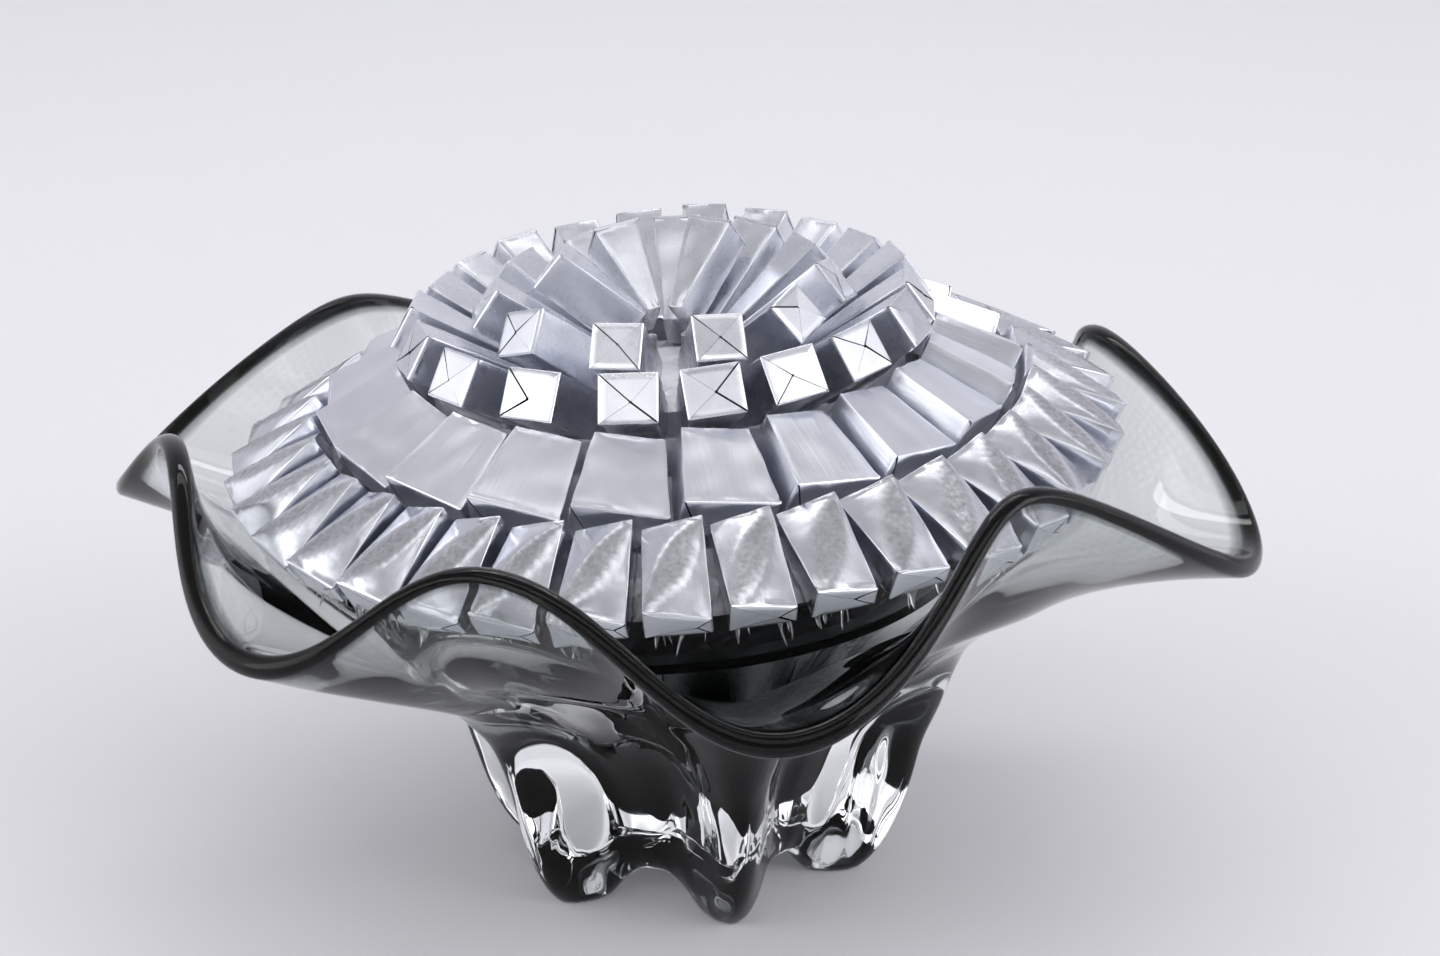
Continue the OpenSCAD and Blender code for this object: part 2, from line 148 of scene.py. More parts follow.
def dress(piece: bpy.types.Object, finish: bpy.types.Material) -> None:
    """Gives a piece its material.

    Args:
        piece: The piece.
        finish: Its material.
    """
    piece.data.materials.clear()
    piece.data.materials.append(finish)


class Nodes:
    """A node tree that short calls fill."""

    def __init__(self, tree: bpy.types.NodeTree) -> None:
        """Takes the tree and empties it."""
        self.tree = tree
        tree.nodes.clear()

    def fill(self, node: bpy.types.Node, sockets: dict) -> bpy.types.Node:
        """Sets a node's inputs from values or links them to outputs.

        Args:
            node: The node.
            sockets: Value or output for each input, by its name or number.

        Returns:
            The same node.
        """
        for name, value in sockets.items():
            socket = node.inputs[name]
            if isinstance(value, bpy.types.NodeSocket):
                self.tree.links.new(value, socket)
            else:
                socket.default_value = (*value, 1.0) if socket.type == "RGBA" else value
        return node

    def add(self, kind: str, sockets: dict | None = None, **settings) -> bpy.types.Node:
        """Adds a node.

        Args:
            kind: Blender's name for the node type.
            sockets: Values or outputs for its inputs.
            **settings: Attributes of the node itself.

        Returns:
            The new node.
        """
        node = self.tree.nodes.new(kind)
        for name, value in settings.items():
            setattr(node, name, value)
        return self.fill(node, sockets or {})

    def place(self) -> bpy.types.NodeSocket:
        """Place of each point in its object's own metres."""
        return self.add("ShaderNodeTexCoord").outputs["Object"]

    def axis(self, vector: Value, name: str) -> bpy.types.NodeSocket:
        """One axis of a vector."""
        return self.add("ShaderNodeSeparateXYZ", {"Vector": vector}).outputs[name]

    def math(self, operation: str, a: Value, b: Value) -> bpy.types.NodeSocket:
        """Result of an operation on two values or outputs."""
        return self.add("ShaderNodeMath", {0: a, 1: b}, operation=operation).outputs[0]

    def vector(self, operation: str, a: Value, b: Value) -> bpy.types.NodeSocket:
        """Result of an operation on two vectors or outputs."""
        return self.add("ShaderNodeVectorMath", {0: a, 1: b}, operation=operation).outputs[0]

    def span(self, value: Value, low: float, high: float) -> bpy.types.NodeSocket:
        """Smooth share of the way from low to high."""
        sockets = {"Value": value, "From Min": low, "From Max": high}
        return self.add("ShaderNodeMapRange", sockets, interpolation_type="SMOOTHSTEP").outputs["Result"]

    def blend(self, fac: Value, low: Value, high: Value) -> bpy.types.NodeSocket:
        """Colour at a share of the way from one colour or output to another."""
        return self.add("ShaderNodeMix", {0: fac, 6: low, 7: high}, data_type="RGBA").outputs[2]

    def noise(self, place: Value, scale: Value, detail: float) -> bpy.types.NodeSocket:
        """Soft noise at a place."""
        sockets = {"Vector": place, "Scale": scale, "Detail": detail}
        return self.add("ShaderNodeTexNoise", sockets).outputs[0]

    def effect(self, tree: bpy.types.NodeTree, sockets: dict) -> bpy.types.NodeSocket:
        """Places a shared effect with its own values and gives its output."""
        return self.add("ShaderNodeGroup", sockets, node_tree=tree).outputs[0]

    def drift(self, place: Value, scale: float, low: float = 0.0, high: float = 1.0) -> bpy.types.NodeSocket:
        """Value that changes slowly over a surface."""
        return self.effect(Effects.drift(), {"Vector": place, "Scale": scale, "Low": low, "High": high})

    def bump(self, height: Value, depth: float, over: Value | None = None) -> bpy.types.NodeSocket:
        """Normals of a relief.

        Args:
            height: Height of the relief.
            depth: Its depth in millimetres.
            over: Normals of a relief that lies under it, if any.

        Returns:
            Output with the normals.
        """
        sockets = {"Strength": 1.0, "Distance": depth * MM, "Height": height}
        if over is not None:
            sockets["Normal"] = over
        return self.add("ShaderNodeBump", sockets).outputs["Normal"]


class Effects:
    """Shader groups that several finishes share."""

    @staticmethod
    def group(name: str, inputs: dict, output: str) -> tuple[Nodes, bpy.types.Node, bpy.types.Node]:
        """An empty shader group with a vector input, number inputs and one number output.

        Args:
            name: Name of the group.
            inputs: Default value of each number input.
            output: Name of the output.

        Returns:
            The nodes, the group's input node and its output node.
        """
        tree = bpy.data.node_groups.new(name, "ShaderNodeTree")
        tree.interface.new_socket("Vector", in_out="INPUT", socket_type="NodeSocketVector")
        for label, value in inputs.items():
            socket = tree.interface.new_socket(label, in_out="INPUT", socket_type="NodeSocketFloat")
            socket.default_value = value
        tree.interface.new_socket(output, in_out="OUTPUT", socket_type="NodeSocketFloat")
        nodes = Nodes(tree)
        return nodes, nodes.add("NodeGroupInput"), nodes.add("NodeGroupOutput")

    @staticmethod
    @lru_cache(maxsize=None)
    def drift() -> bpy.types.NodeTree:
        """Slow change between two values: smudges on glass, dulled foil, uneven dye.

        Returns:
            The shader group.
        """
        nodes, given, result = Effects.group("tone_drift", {"Scale": 0.1, "Low": 0.0, "High": 1.0}, "Value")
        # Soft noise stays between these most of the time
        least, most = 0.3, 0.7
        spread = nodes.add("ShaderNodeMapRange", {
            "Value": nodes.noise(given.outputs["Vector"], given.outputs["Scale"], 4.0),
            "From Min": least, "From Max": most,
            "To Min": given.outputs["Low"], "To Max": given.outputs["High"],
        })
        nodes.fill(result, {"Value": spread.outputs["Result"]})
        return nodes.tree

    @staticmethod
    @lru_cache(maxsize=None)
    def crumple() -> bpy.types.NodeTree:
        """Dents and creases of thin foil pressed round a bar.

        Returns:
            The shader group.
        """
        nodes, given, result = Effects.group(
            "foil_crumple", {"Dents": 0.12, "Creases": 0.3, "Crease Depth": 0.4}, "Height"
        )
        place = given.outputs["Vector"]
        # How often and how far creases wander, and their width as a share of a cell
        wander_scale, wander, width = 0.2, (6.0, 6.0, 6.0), 0.18
        dents = nodes.noise(place, given.outputs["Dents"], 2.0)
        bend = nodes.add("ShaderNodeTexNoise", {"Vector": place, "Scale": wander_scale, "Detail": 1.0})
        moved = nodes.vector("ADD", place, nodes.vector("MULTIPLY", bend.outputs["Color"], wander))
        cells = nodes.add(
            "ShaderNodeTexVoronoi", {"Vector": moved, "Scale": given.outputs["Creases"]},
            feature="DISTANCE_TO_EDGE",
        )
        crease = nodes.span(cells.outputs["Distance"], width, 0.0)
        creased = nodes.math("MULTIPLY", crease, given.outputs["Crease Depth"])
        nodes.fill(result, {"Height": nodes.math("ADD", dents, creased)})
        return nodes.tree

    @staticmethod
    @lru_cache(maxsize=None)
    def hairlines() -> bpy.types.NodeTree:
        """Fine lines along X, as rolled foil has.

        Returns:
            The shader group.
        """
        nodes, given, result = Effects.group("rolling_lines", {"Fineness": 3.0}, "Height")
        stretch = (0.03, 1.0, 1.0)
        drawn = nodes.vector("MULTIPLY", given.outputs["Vector"], stretch)
        nodes.fill(result, {"Height": nodes.noise(drawn, given.outputs["Fineness"], 3.0)})
        return nodes.tree


class Finish:
    """A finish that fills the nodes of its own material."""

    name: ClassVar[str]

    def shader(self, nodes: Nodes, place: Value) -> dict:
        """Values or outputs for the shader's inputs, at a place in metres."""
        raise NotImplementedError

    def inside(self, nodes: Nodes) -> dict:
        """Further inputs of the material's output."""
        return {}

    def material(self) -> bpy.types.Material:
        """Makes the material.

        Returns:
            The new material.
        """
        made = bpy.data.materials.new(self.name)
        made.use_nodes = True
        nodes = Nodes(made.node_tree)
        shader = nodes.add("ShaderNodeBsdfPrincipled", self.shader(nodes, nodes.place()))
        nodes.add("ShaderNodeOutputMaterial", {"Surface": shader.outputs["BSDF"], **self.inside(nodes)})
        return made


class FoilLook(Enum):
    """How the foil of a ring of bars looks."""

    SATIN = "satin"
    ROLLED = "rolled"
    CREASED = "creased"
    CRUSHED = "crushed"


@dataclass(frozen=True)
class SilverFoil(Finish):
    """Thin satin silver foil pressed round a bar, with dents, rolling lines, dull patches and painted shade
    under its folds.
    """

    look: FoilLook
    pale: Colour = (0.86, 0.875, 0.925)
    dull: Colour = (0.685, 0.70, 0.75)
    patch: Colour = (0.40, 0.40, 0.42)
    # Colour of the painted shade under the folds, then of the painted shadow of the bars on crushed foil
    painted_fold_shade: Colour = (0.03, 0.03, 0.032)
    shadow: Colour = (0.12, 0.12, 0.126)
    # Roughness where the foil shines, where it is dull, and how much a patch adds
    shine: float = 0.24
    dullness: float = 0.31
    patch_dullness: float = 0.12
    # Least and greatest strength of a patch
    mottle: Pair = (0.35, 1.0)
    # Repeats in a millimetre
    dents: float = 0.09
    creases: float = 0.12
    fineness: float = 3.0
    tone_scale: float = 0.035
    gloss_scale: float = 0.16
    mottle_scale: float = 0.7
    # Height of creases beside dents, and depths of dents and of rolling lines in millimetres
    crease_depth: float = 0.0
    relief: float = 0.1
    line_relief: float = 0.012
    # Heights between which crushed foil comes out of the shadow of the bars
    shadow_fades: Pair = (121.0, 134.0)

    @property
    def name(self) -> str:
        """Name of the material."""
        return f"silver_foil_{self.look.value}"

    def shader(self, nodes: Nodes, place: Value) -> dict:
        """Foil that reads each bar's own millimetres and masks, or the part's where it is crushed.

        Args:
            nodes: The material's nodes.
            place: Place in metres.

        Returns:
            Values or outputs for the shader's inputs.
        """
        crushed = self.look is FoilLook.CRUSHED
        if crushed:
            place = nodes.vector("MULTIPLY", place, (1 / MM, 1 / MM, 1 / MM))
        else:
            place = nodes.add("ShaderNodeAttribute", attribute_name=WRAP).outputs["Vector"]
        # Painted shade under the folds darkens the foil where this mask is set
        painted_fold_shade = nodes.add("ShaderNodeAttribute", attribute_name=PAINTED_SHADE).outputs["Fac"]
        patch = nodes.add("ShaderNodeAttribute", attribute_name=PATCH).outputs["Fac"]
        worn = nodes.math("MULTIPLY", patch, nodes.drift(place, self.mottle_scale, *self.mottle))
        shade = nodes.blend(nodes.drift(place, self.tone_scale), self.dull, self.pale)
        if crushed:
            shade = nodes.blend(nodes.span(nodes.axis(place, "Z"), *self.shadow_fades), self.shadow, shade)
        shade = nodes.blend(painted_fold_shade, nodes.blend(worn, shade, self.patch), self.painted_fold_shade)
        gloss = nodes.drift(place, self.gloss_scale, self.shine, self.dullness)
        lines = nodes.effect(Effects.hairlines(), {"Vector": place, "Fineness": self.fineness})
        crumple = nodes.effect(Effects.crumple(), {
            "Vector": place, "Dents": self.dents, "Creases": self.creases, "Crease Depth": self.crease_depth,
        })
        return {
            "Base Color": shade, "Metallic": 1.0,
            "Roughness": nodes.math("ADD", gloss, nodes.math("MULTIPLY", worn, self.patch_dullness)),
            "Normal": nodes.bump(crumple, self.relief, nodes.bump(lines, self.line_relief)),
        }


@dataclass(frozen=True)
class ClearGlass(Finish):
    """Blown clear glass, faintly uneven and smudged, with streaks where its feet were pulled."""

    name = "clear_glass"
    tint: Colour = (0.985, 1.0, 0.995)
    ior: float = 1.5
    gleam: Colour = (0.45, 0.45, 0.45)
    # Depths of the relief in millimetres, and repeats in a metre
    ripple: float = 0.25
    ripple_scale: float = 28.0
    streak: float = 1.5
    streak_scale: float = 85.0
    # How much a streak repeats along each axis, and the heights in metres between which streaks fade
    streak_stretch: Triple = (1.0, 1.0, 0.3)
    streak_fades: Pair = (0.07, 0.03)
    # Greatest roughness of a smudge, and repeats in a metre
    smudge: float = 0.02
    smudge_scale: float = 18.0

    def shader(self, nodes: Nodes, place: Value) -> dict:
        """Clear glass with its relief.

        Args:
            nodes: The material's nodes.
            place: Place in metres.

        Returns:
            Values or outputs for the shader's inputs.
        """
        drawn = nodes.vector("MULTIPLY", place, self.streak_stretch)
        low = nodes.span(nodes.axis(place, "Z"), *self.streak_fades)
        streaks = nodes.math("MULTIPLY", nodes.noise(drawn, self.streak_scale, 1.0), low)
        wave = nodes.noise(place, self.ripple_scale, 1.0)
        return {
            "Base Color": self.tint, "Roughness": nodes.drift(place, self.smudge_scale, 0.0, self.smudge),
            "IOR": self.ior, "Specular Tint": self.gleam, "Transmission Weight": 1.0,
            "Normal": nodes.bump(wave, self.ripple, nodes.bump(streaks, self.streak)),
        }


@dataclass(frozen=True)
class SmokeGlass(Finish):
    """Smoke-grey glass fused into clear glass: it takes light away and bends none at the fused face."""

    name = "smoke_glass"
    dye: Colour = (0.0, 0.045, 0.04)
    density: float = 1200.0
    streak: Colour = (0.93, 0.94, 0.94)
    clear: Colour = (1.0, 1.0, 1.0)
    streak_scale: float = 22.0
    ior: float = 1.0

    def shader(self, nodes: Nodes, place: Value) -> dict:
        """Surface of the fused face, with faint streaks."""
        return {
            "Base Color": nodes.blend(nodes.drift(place, self.streak_scale), self.streak, self.clear),
            "Roughness": 0.0, "IOR": self.ior, "Transmission Weight": 1.0,
        }

    def inside(self, nodes: Nodes) -> dict:
        """Dye that takes light away in the glass."""
        dyed = nodes.add("ShaderNodeVolumeAbsorption", {"Color": self.dye, "Density": self.density})
        return {"Volume": dyed.outputs["Volume"]}


@dataclass(frozen=True)
class SmokedPlate(Finish):
    """Smoke-tinted clear plastic of the plate under the mound, with a fine grain."""

    name = "smoked_plate"
    dark: Colour = (0.22, 0.23, 0.23)
    light: Colour = (0.36, 0.37, 0.37)
    ior: float = 1.49
    gloss: Pair = (0.02, 0.1)
    grain: float = 0.02
    # Repeats in a metre
    tone_scale: float = 35.0
    gloss_scale: float = 90.0
    grain_scale: float = 1400.0

    def shader(self, nodes: Nodes, place: Value) -> dict:
        """Tinted plastic that lets light through."""
        return {
            "Base Color": nodes.blend(nodes.drift(place, self.tone_scale), self.dark, self.light),
            "Roughness": nodes.drift(place, self.gloss_scale, *self.gloss), "IOR": self.ior,
            "Transmission Weight": 1.0,
            "Normal": nodes.bump(nodes.noise(place, self.grain_scale, 2.0), self.grain),
        }


@dataclass(frozen=True)
class HotGlue(Finish):
    """Clear glue that has set, a little milky and wavy."""

    name = "hot_glue"
    tint: Colour = (0.86, 0.87, 0.87)
    ior: float = 1.48
    clearness: float = 0.9
    gloss: Pair = (0.05, 0.2)
    wave: float = 0.5
    # Repeats in a metre
    gloss_scale: float = 150.0
    wave_scale: float = 260.0

    def shader(self, nodes: Nodes, place: Value) -> dict:
        """Wavy glue that lets most light through."""
        return {
            "Base Color": self.tint, "Roughness": nodes.drift(place, self.gloss_scale, *self.gloss),
            "IOR": self.ior, "Transmission Weight": self.clearness,
            "Normal": nodes.bump(nodes.noise(place, self.wave_scale, 2.0), self.wave),
        }


@dataclass(frozen=True)
class PaperSweep(Finish):
    """Pale background paper, slightly uneven."""

    name = "paper_sweep"
    low: Colour = (0.865, 0.86, 0.892)
    high: Colour = (0.89, 0.885, 0.917)
    tone_scale: float = 0.8
    dullness: float = 0.85

    def shader(self, nodes: Nodes, place: Value) -> dict:
        """Dull paper with faint changes of tone."""
        tone = nodes.drift(place, self.tone_scale)
        return {"Base Color": nodes.blend(tone, self.low, self.high), "Roughness": self.dullness}


@dataclass
class GlassBowl:
    """Hand-blown bowl: a smoke lining fused into a clear casing with six lobes and six pulled feet."""

    lobes: int = 6
    first_foot: float = -135.0
    # Mean reach and height of the rim in a dip and on a crest
    dip: Pair = (170.0, 114.0)
    crest: Pair = (142.0, 150.0)
    # Thickness of the solid's lip, which settles the axis, and of the visual bead
    lip_t: float = 7.5
    bead_t: float = 6.0
    lip_reach: float = 4.9
    lip_inset: float = 0.12
    lining_t: float = 4.0
    casing_t: float = 5.0
    casing_edge: float = 0.8
    # Sharpness of the folds in foot, rib and rim
    fold_foot: float = 1.5
    fold_rib: float = 3.0
    fold_rim: float = 1.0
    # Station of the wall where the casing starts, last station of a foot and its share of the way to the rim
    casing_from: int = 9
    foot_last: int = 8
    foot_share: float = 5 / 12
    # Clear glass that lies over the smoke inside the bowl
    smoke_inset: float = 0.3
    # Thickness of the smoke low down, towards a valley and towards a foot, then in the body and in the lobes
    valley_smoke_t: float = 9.0
    foot_smoke_t: float = 2.4
    smoke_t: float = 2.4
    lobe_smoke_t: float = 0.45
    # Shares of the way from the axis to the rim over which ribs soften, bellies stand out, the lining swells
    # into the bead, the casing thins, and the smoke goes from base to wall, from wall to lobe, into the bead
    ribs_soften: Pair = (0.35, 0.8)
    bellies: Pair = (0.5, 1.0)
    bead_swells: Pair = (0.8, 1.0)
    casing_thins: Pair = (0.6, 1.0)
    base_ends: Pair = (0.15, 0.45)
    body_ends: Pair = (0.45, 0.62)
    bead_fills: Pair = (0.98, 1.0)
    # Columns of the CAD model, and how many times finer the visual one is
    cad_columns: int = 60
    fine: int = 5
    wall_rows: int = 66
    foot_rows: int = 90
    lip_rows: int = 12

    def __post_init__(self) -> None:
        """Sets out the lines of the wall and the columns round it."""
        # Each dip's change in reach, height and bearing, its belly's rise and how much further out the smoke
        # stays thick there, as a share of the wall; then each crest's change in reach, height and bearing
        self.dip_change = np.array([
            [2, 2, 1, -8, -0.12], [0, -2, -7, 0, 0.3], [-1, 0, 0, 7, 0.04], [-2, 0, 4, 0, 0],
            [3, 0, -2, 0, 0], [4, 0, 7, 0, 0],
        ], float)
        self.crest_change = np.array([
            [3, -3, -6], [-4, 8, -5], [-3, 1, 8], [-1, 0, 3], [2, -1, 5], [9, -2, 1],
        ], float)
        self.wall_lobe = np.array([
            [0, 28], [11, 27.5], [20.5, 28.5], [28.5, 32.5], [35, 40], [41.5, 50], [50, 61],
            [61, 71], [79, 80], [102, 90], [125, 98], [148, 104.5], [168, 110],
        ])
        self.wall_valley = np.array([
            [0, 28], [10, 28], [19, 29.5], [26.5, 34], [33, 42.5], [41, 54], [55, 68],
            [79, 82], [104, 98.5], [126.5, 111.5], [138, 123.5], [143, 135], [144.5, 146.5],
        ])
        self.outer_lobe = np.array([
            [0, 16], [20, 13], [33, 4], [40, -4], [48, -4], [57, 3], [63.5, 14], [68.5, 28],
            [72.5, 43.5], [77.5, 56], [83, 67.5], [90.5, 78.5],
        ])
        self.outer_valley = np.array([
            [0, 16], [16, 15.5], [27, 13], [34, 10.5], [39.5, 11], [43.5, 17], [46, 27], [49, 39],
            [55, 52], [66, 65], [84, 79.5], [107, 95.5],
        ])
        self.last = len(self.wall_lobe) - 1
        self.outer_last = len(self.outer_lobe) + self.last - self.casing_from
        self.columns = self.cad_columns * self.fine
        self.q = self.lobes * np.arange(self.columns) / self.columns
        self.lobe_share = (1 + np.cos(2 * np.pi * self.q)) / 2
        self.axis = np.zeros(2)
        # The CAD model's columns settle where the middle of the rim's box is
        rim = self.in_space(self.lip(0.5, self.lip_t, 0.0, self.lip_t), 1.0)[::self.fine]
        self.axis = -(rim.max(0) + rim.min(0))[:2] / 2

    def change(self, table: np.ndarray, item: int, shift: float) -> np.ndarray:
        """A table's item eased from lobe to lobe, or from crest to crest with a shift of a half."""
        k = np.floor(self.q - shift).astype(int)
        return mix(table[k % self.lobes, item], table[(k + 1) % self.lobes, item], ease(self.q - shift - k))

    def dip_at(self, item: int) -> np.ndarray:
        """Change of the dips at every column."""
        return self.change(self.dip_change, item, 0.0)

    def crest_at(self, item: int) -> np.ndarray:
        """Change of the crests at every column."""
        return self.change(self.crest_change, item, 0.5)

    def scaled(self, point: np.ndarray, size: Pair, change: Changes, t: float) -> np.ndarray:
        """A line's point for every column, sized more towards the rim by the rim's own changes."""
        grown = np.stack([(size[i] + change(i)) / size[i] for i in (REACH, HEIGHT)], 1)
        return point * mix(1.0, grown, t)

    def folded(self, valley: np.ndarray, lobe: np.ndarray, t: float, power: float) -> np.ndarray:
        """Points of every column between a valley's point and a lobe's.

        Args:
            valley: Point on the valley's line.
            lobe: Point on the lobe's line.
            t: Share of the way from the axis to the rim.
            power: Sharpness of the lobes.

        Returns:
            One point for each column.
        """
        low = self.scaled(valley, self.crest, self.crest_at, t)
        high = self.scaled(lobe, self.dip, self.dip_at, t)
        high[:, HEIGHT] += self.dip_at(BELLY) * math.sin(math.pi * share(t, *self.bellies))
        return mix(low, high, (self.lobe_share**power)[:, None])

    def wall_fold(self, t: float) -> float:
        """Sharpness of the lobes in the wall, from rib to rim."""
        return mix(self.fold_rib, self.fold_rim, ease(share(t, *self.ribs_soften)))

    def wall_line(self, u: float) -> np.ndarray:
        """Meridian points of the wall's line at station u, one for each column."""
        t = u / self.last
        return self.folded(along(self.wall_valley, u), along(self.wall_lobe, u), t, self.wall_fold(t))

    def normal(self, u: float) -> np.ndarray:
        """Direction from the wall's line into the bowl.

        Args:
            u: Station on the wall.

        Returns:
            One direction for each column.
        """
        if u == 0:
            return np.tile([0.0, 1.0], (self.columns, 1))
        step = 0.25
        run = self.wall_line(min(u + step, self.last)) - self.wall_line(max(u - step, 0.0))
        run /= np.linalg.norm(run, axis=1, keepdims=True)
        return np.stack([-run[:, 1], run[:, 0]], 1)

    def inner(self, u: float, inset: np.ndarray | float = 0.0) -> np.ndarray:
        """Inside of the bowl at station u, set back by an inset."""
        thick = mix(self.lining_t, self.bead_t, ease(share(u / self.last, *self.bead_swells)))
        return self.wall_line(u) + self.normal(u) * (thick - inset)

    def smoke_outside(self, u: float) -> np.ndarray:
        """Outside of the smoke glass, which is thinner in the lobes.

        Args:
            u: Station on the wall.

        Returns:
            One point for each column.
        """
        t = u / self.last
        base = mix(self.valley_smoke_t, self.foot_smoke_t, self.lobe_share)
        thick = mix(base, self.smoke_t, ease(share(t, *self.base_ends)))
        starts, ends = self.body_ends
        thins = np.clip((t - self.dip_at(SMOKE) - starts) / (ends - starts), 0, 1)
        thick = mix(thick, self.lobe_smoke_t, ease(thins))
        full = self.bead_t + self.casing_edge - self.lip_inset
        return self.inner(u, mix(thick, full, ease(share(t, *self.bead_fills)))[:, None])

    def casing(self, u: float) -> np.ndarray:
        """Outside of the casing over the wall at station u."""
        thick = mix(self.casing_t, self.casing_edge, ease(share(u / self.last, *self.casing_thins)))
        return self.wall_line(u) - self.normal(u) * thick

    def outer_share(self, u: float) -> float:
        """Share of the way from foot to rim that the outside has at station u."""
        rise = share(u, self.foot_last, self.outer_last)
        return self.foot_share * share(u, 0, self.foot_last) + (1 - self.foot_share) * rise

    def outer_stations(self) -> np.ndarray:
        """Stations of the outside: foot, rib and then the casing over the wall.

        Returns:
            Points by station and column.
        """
        made = []
        for i, (valley, lobe) in enumerate(zip(self.outer_valley, self.outer_lobe)):
            t, power = self.outer_share(i), self.wall_fold(self.outer_share(i))
            if i < self.foot_last:
                sharper = ease(share(i, self.foot_last / 2, self.foot_last))
                t, power = 0.0, mix(self.fold_foot, self.fold_rib, sharper)
            made.append(self.folded(valley, lobe, t, power))
        return np.stack(made + [self.casing(i) for i in range(self.casing_from, self.last + 1)])

    def lip(self, turn: float, inside: float, outside: float, reach: float) -> np.ndarray:
        """Half round of the lip.

        Args:
            turn: 0 at the inside and 1 at the outside.
            inside: How far the lip's inside lies from the line of the wall.
            outside: How far its outside lies from the line.
            reach: Twice how far the round stands out from the end of the wall.

        Returns:
            One point for each column.
        """
        n = self.normal(self.last)
        outward = np.stack([n[:, 1], -n[:, 0]], 1)
        middle = self.wall_line(self.last) + n * (inside - outside) / 2
        angle = math.pi * turn
        return middle + n * (inside + outside) / 2 * math.cos(angle) + outward * reach / 2 * math.sin(angle)

    def in_space(self, points: np.ndarray, t: float) -> np.ndarray:
        """A ring of meridian points set round the axis.

        Args:
            points: Reach and height for each column.
            t: Share of the way from the axis to the rim, which gives the twist.

        Returns:
            The points in the part's frame.
        """
        twist = mix(self.crest_at(TURN), self.dip_at(TURN), self.lobe_share)
        turn = np.radians(self.first_foot + 360 / self.lobes * self.q + ease(t) * twist)
        x = points[:, 0] * np.cos(turn) + self.axis[0]
        y = points[:, 0] * np.sin(turn) + self.axis[1]
        return np.stack([x, y, np.maximum(points[:, 1], 0)], 1)

    def closed_skin(self, start: float, rings: list[np.ndarray], end: float) -> tuple[np.ndarray, Faces]:
        """A closed skin through rings of points, with a point on the axis at each end.

        Args:
            start: Height of the first axis point.
            rings: Rings, from the first axis point to the last.
            end: Height of the last axis point.

        Returns:
            Points and faces.
        """
        n = self.columns
        points = np.concatenate([[[*self.axis, start]], *rings, [[*self.axis, end]]])
        faces: Faces = []
        for i in range(n):
            j = (i + 1) % n
            faces.append((0, 1 + j, 1 + i))
            for row in range(len(rings) - 1):
                a, b = 1 + row * n + i, 1 + row * n + j
                faces.append((a, b, b + n, a + n))
            top = 1 + (len(rings) - 1) * n
            faces.append((len(points) - 1, top + i, top + j))
        return points, faces

    def build(self, clear: bpy.types.Material, smoke: bpy.types.Material) -> list[bpy.types.Object]:
        """Makes the clear glass with its whole surface and the smoke glass inside it.

        Args:
            clear: Clear glass.
            smoke: Smoke glass.

        Returns:
            The two pieces.
        """
        wall = [self.last * r / self.wall_rows for r in range(1, self.wall_rows + 1)]
        lip = [r / self.lip_rows for r in range(self.lip_rows, -1, -1)]
        edge = self.casing_edge
        outside = self.outer_stations()
        skin = [
            self.in_space(along(outside, u), self.outer_share(u))
            for u in (self.outer_last * r / self.foot_rows for r in range(1, self.foot_rows))
        ]
        skin += [self.in_space(self.lip(t, self.bead_t, edge, self.lip_reach), 1.0) for t in lip]
        skin += [self.in_space(self.inner(u), u / self.last) for u in wall[-2::-1]]
        top = self.wall_lobe[0][1] + self.lining_t
        body = mesh_piece("clear_glass_skin", *self.closed_skin(self.outer_lobe[0][1], skin, top))
        inset, thin = self.smoke_inset, self.lip_inset
        dark = [self.in_space(self.smoke_outside(u), u / self.last) for u in wall[:-1]]
        dark += [
            self.in_space(self.lip(t, self.bead_t - thin, edge - thin, self.lip_reach - 2 * thin), 1.0)
            for t in lip
        ]
        dark += [self.in_space(self.inner(u, inset), u / self.last) for u in wall[-2::-1]]
        low = top - (self.valley_smoke_t + self.foot_smoke_t) / 2
        lining = mesh_piece("smoke_glass_body", *self.closed_skin(low, dark, top - inset))
        for piece, finish, slot, node in (
            (body, clear, "clear_glass", "clear_glass_casing"),
            (lining, smoke, "smoke_glass", "smoke_glass_lining"),
        ):
            dress(piece, finish)
            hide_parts(node)
            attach(piece, "bowl")
        return [body, lining]


@lru_cache(maxsize=None)
def shell_lattice(nx: int, ny: int, nz: int) -> tuple[np.ndarray, tuple]:
    """Corners and faces of the outside of a lattice with so many lines along each axis.

    Args:
        nx: Lines along X.
        ny: Lines along Y.
        nz: Lines along Z.

    Returns:
        The lines that each corner lies on, and the faces, which look outwards.
    """
    ends = (nx - 1, ny - 1, nz - 1)
    keys = [
        (i, j, k)
        for i in range(nx) for j in range(ny) for k in range(nz)
        if i in (0, ends[0]) or j in (0, ends[1]) or k in (0, ends[2])
    ]
    number = {key: n for n, key in enumerate(keys)}
    faces = []
    for axis in range(3):
        a, b = (axis + 1) % 3, (axis + 2) % 3
        for side in (0, ends[axis]):
            for m in range(ends[a]):
                for n in range(ends[b]):
                    corners = []
                    for dm, dn in ((0, 0), (1, 0), (1, 1), (0, 1)):
                        key = [0, 0, 0]
                        key[axis], key[a], key[b] = side, m + dm, n + dn
                        corners.append(number[tuple(key)])
                    faces.append(tuple(corners if side else corners[::-1]))
    return np.array(keys), tuple(faces)


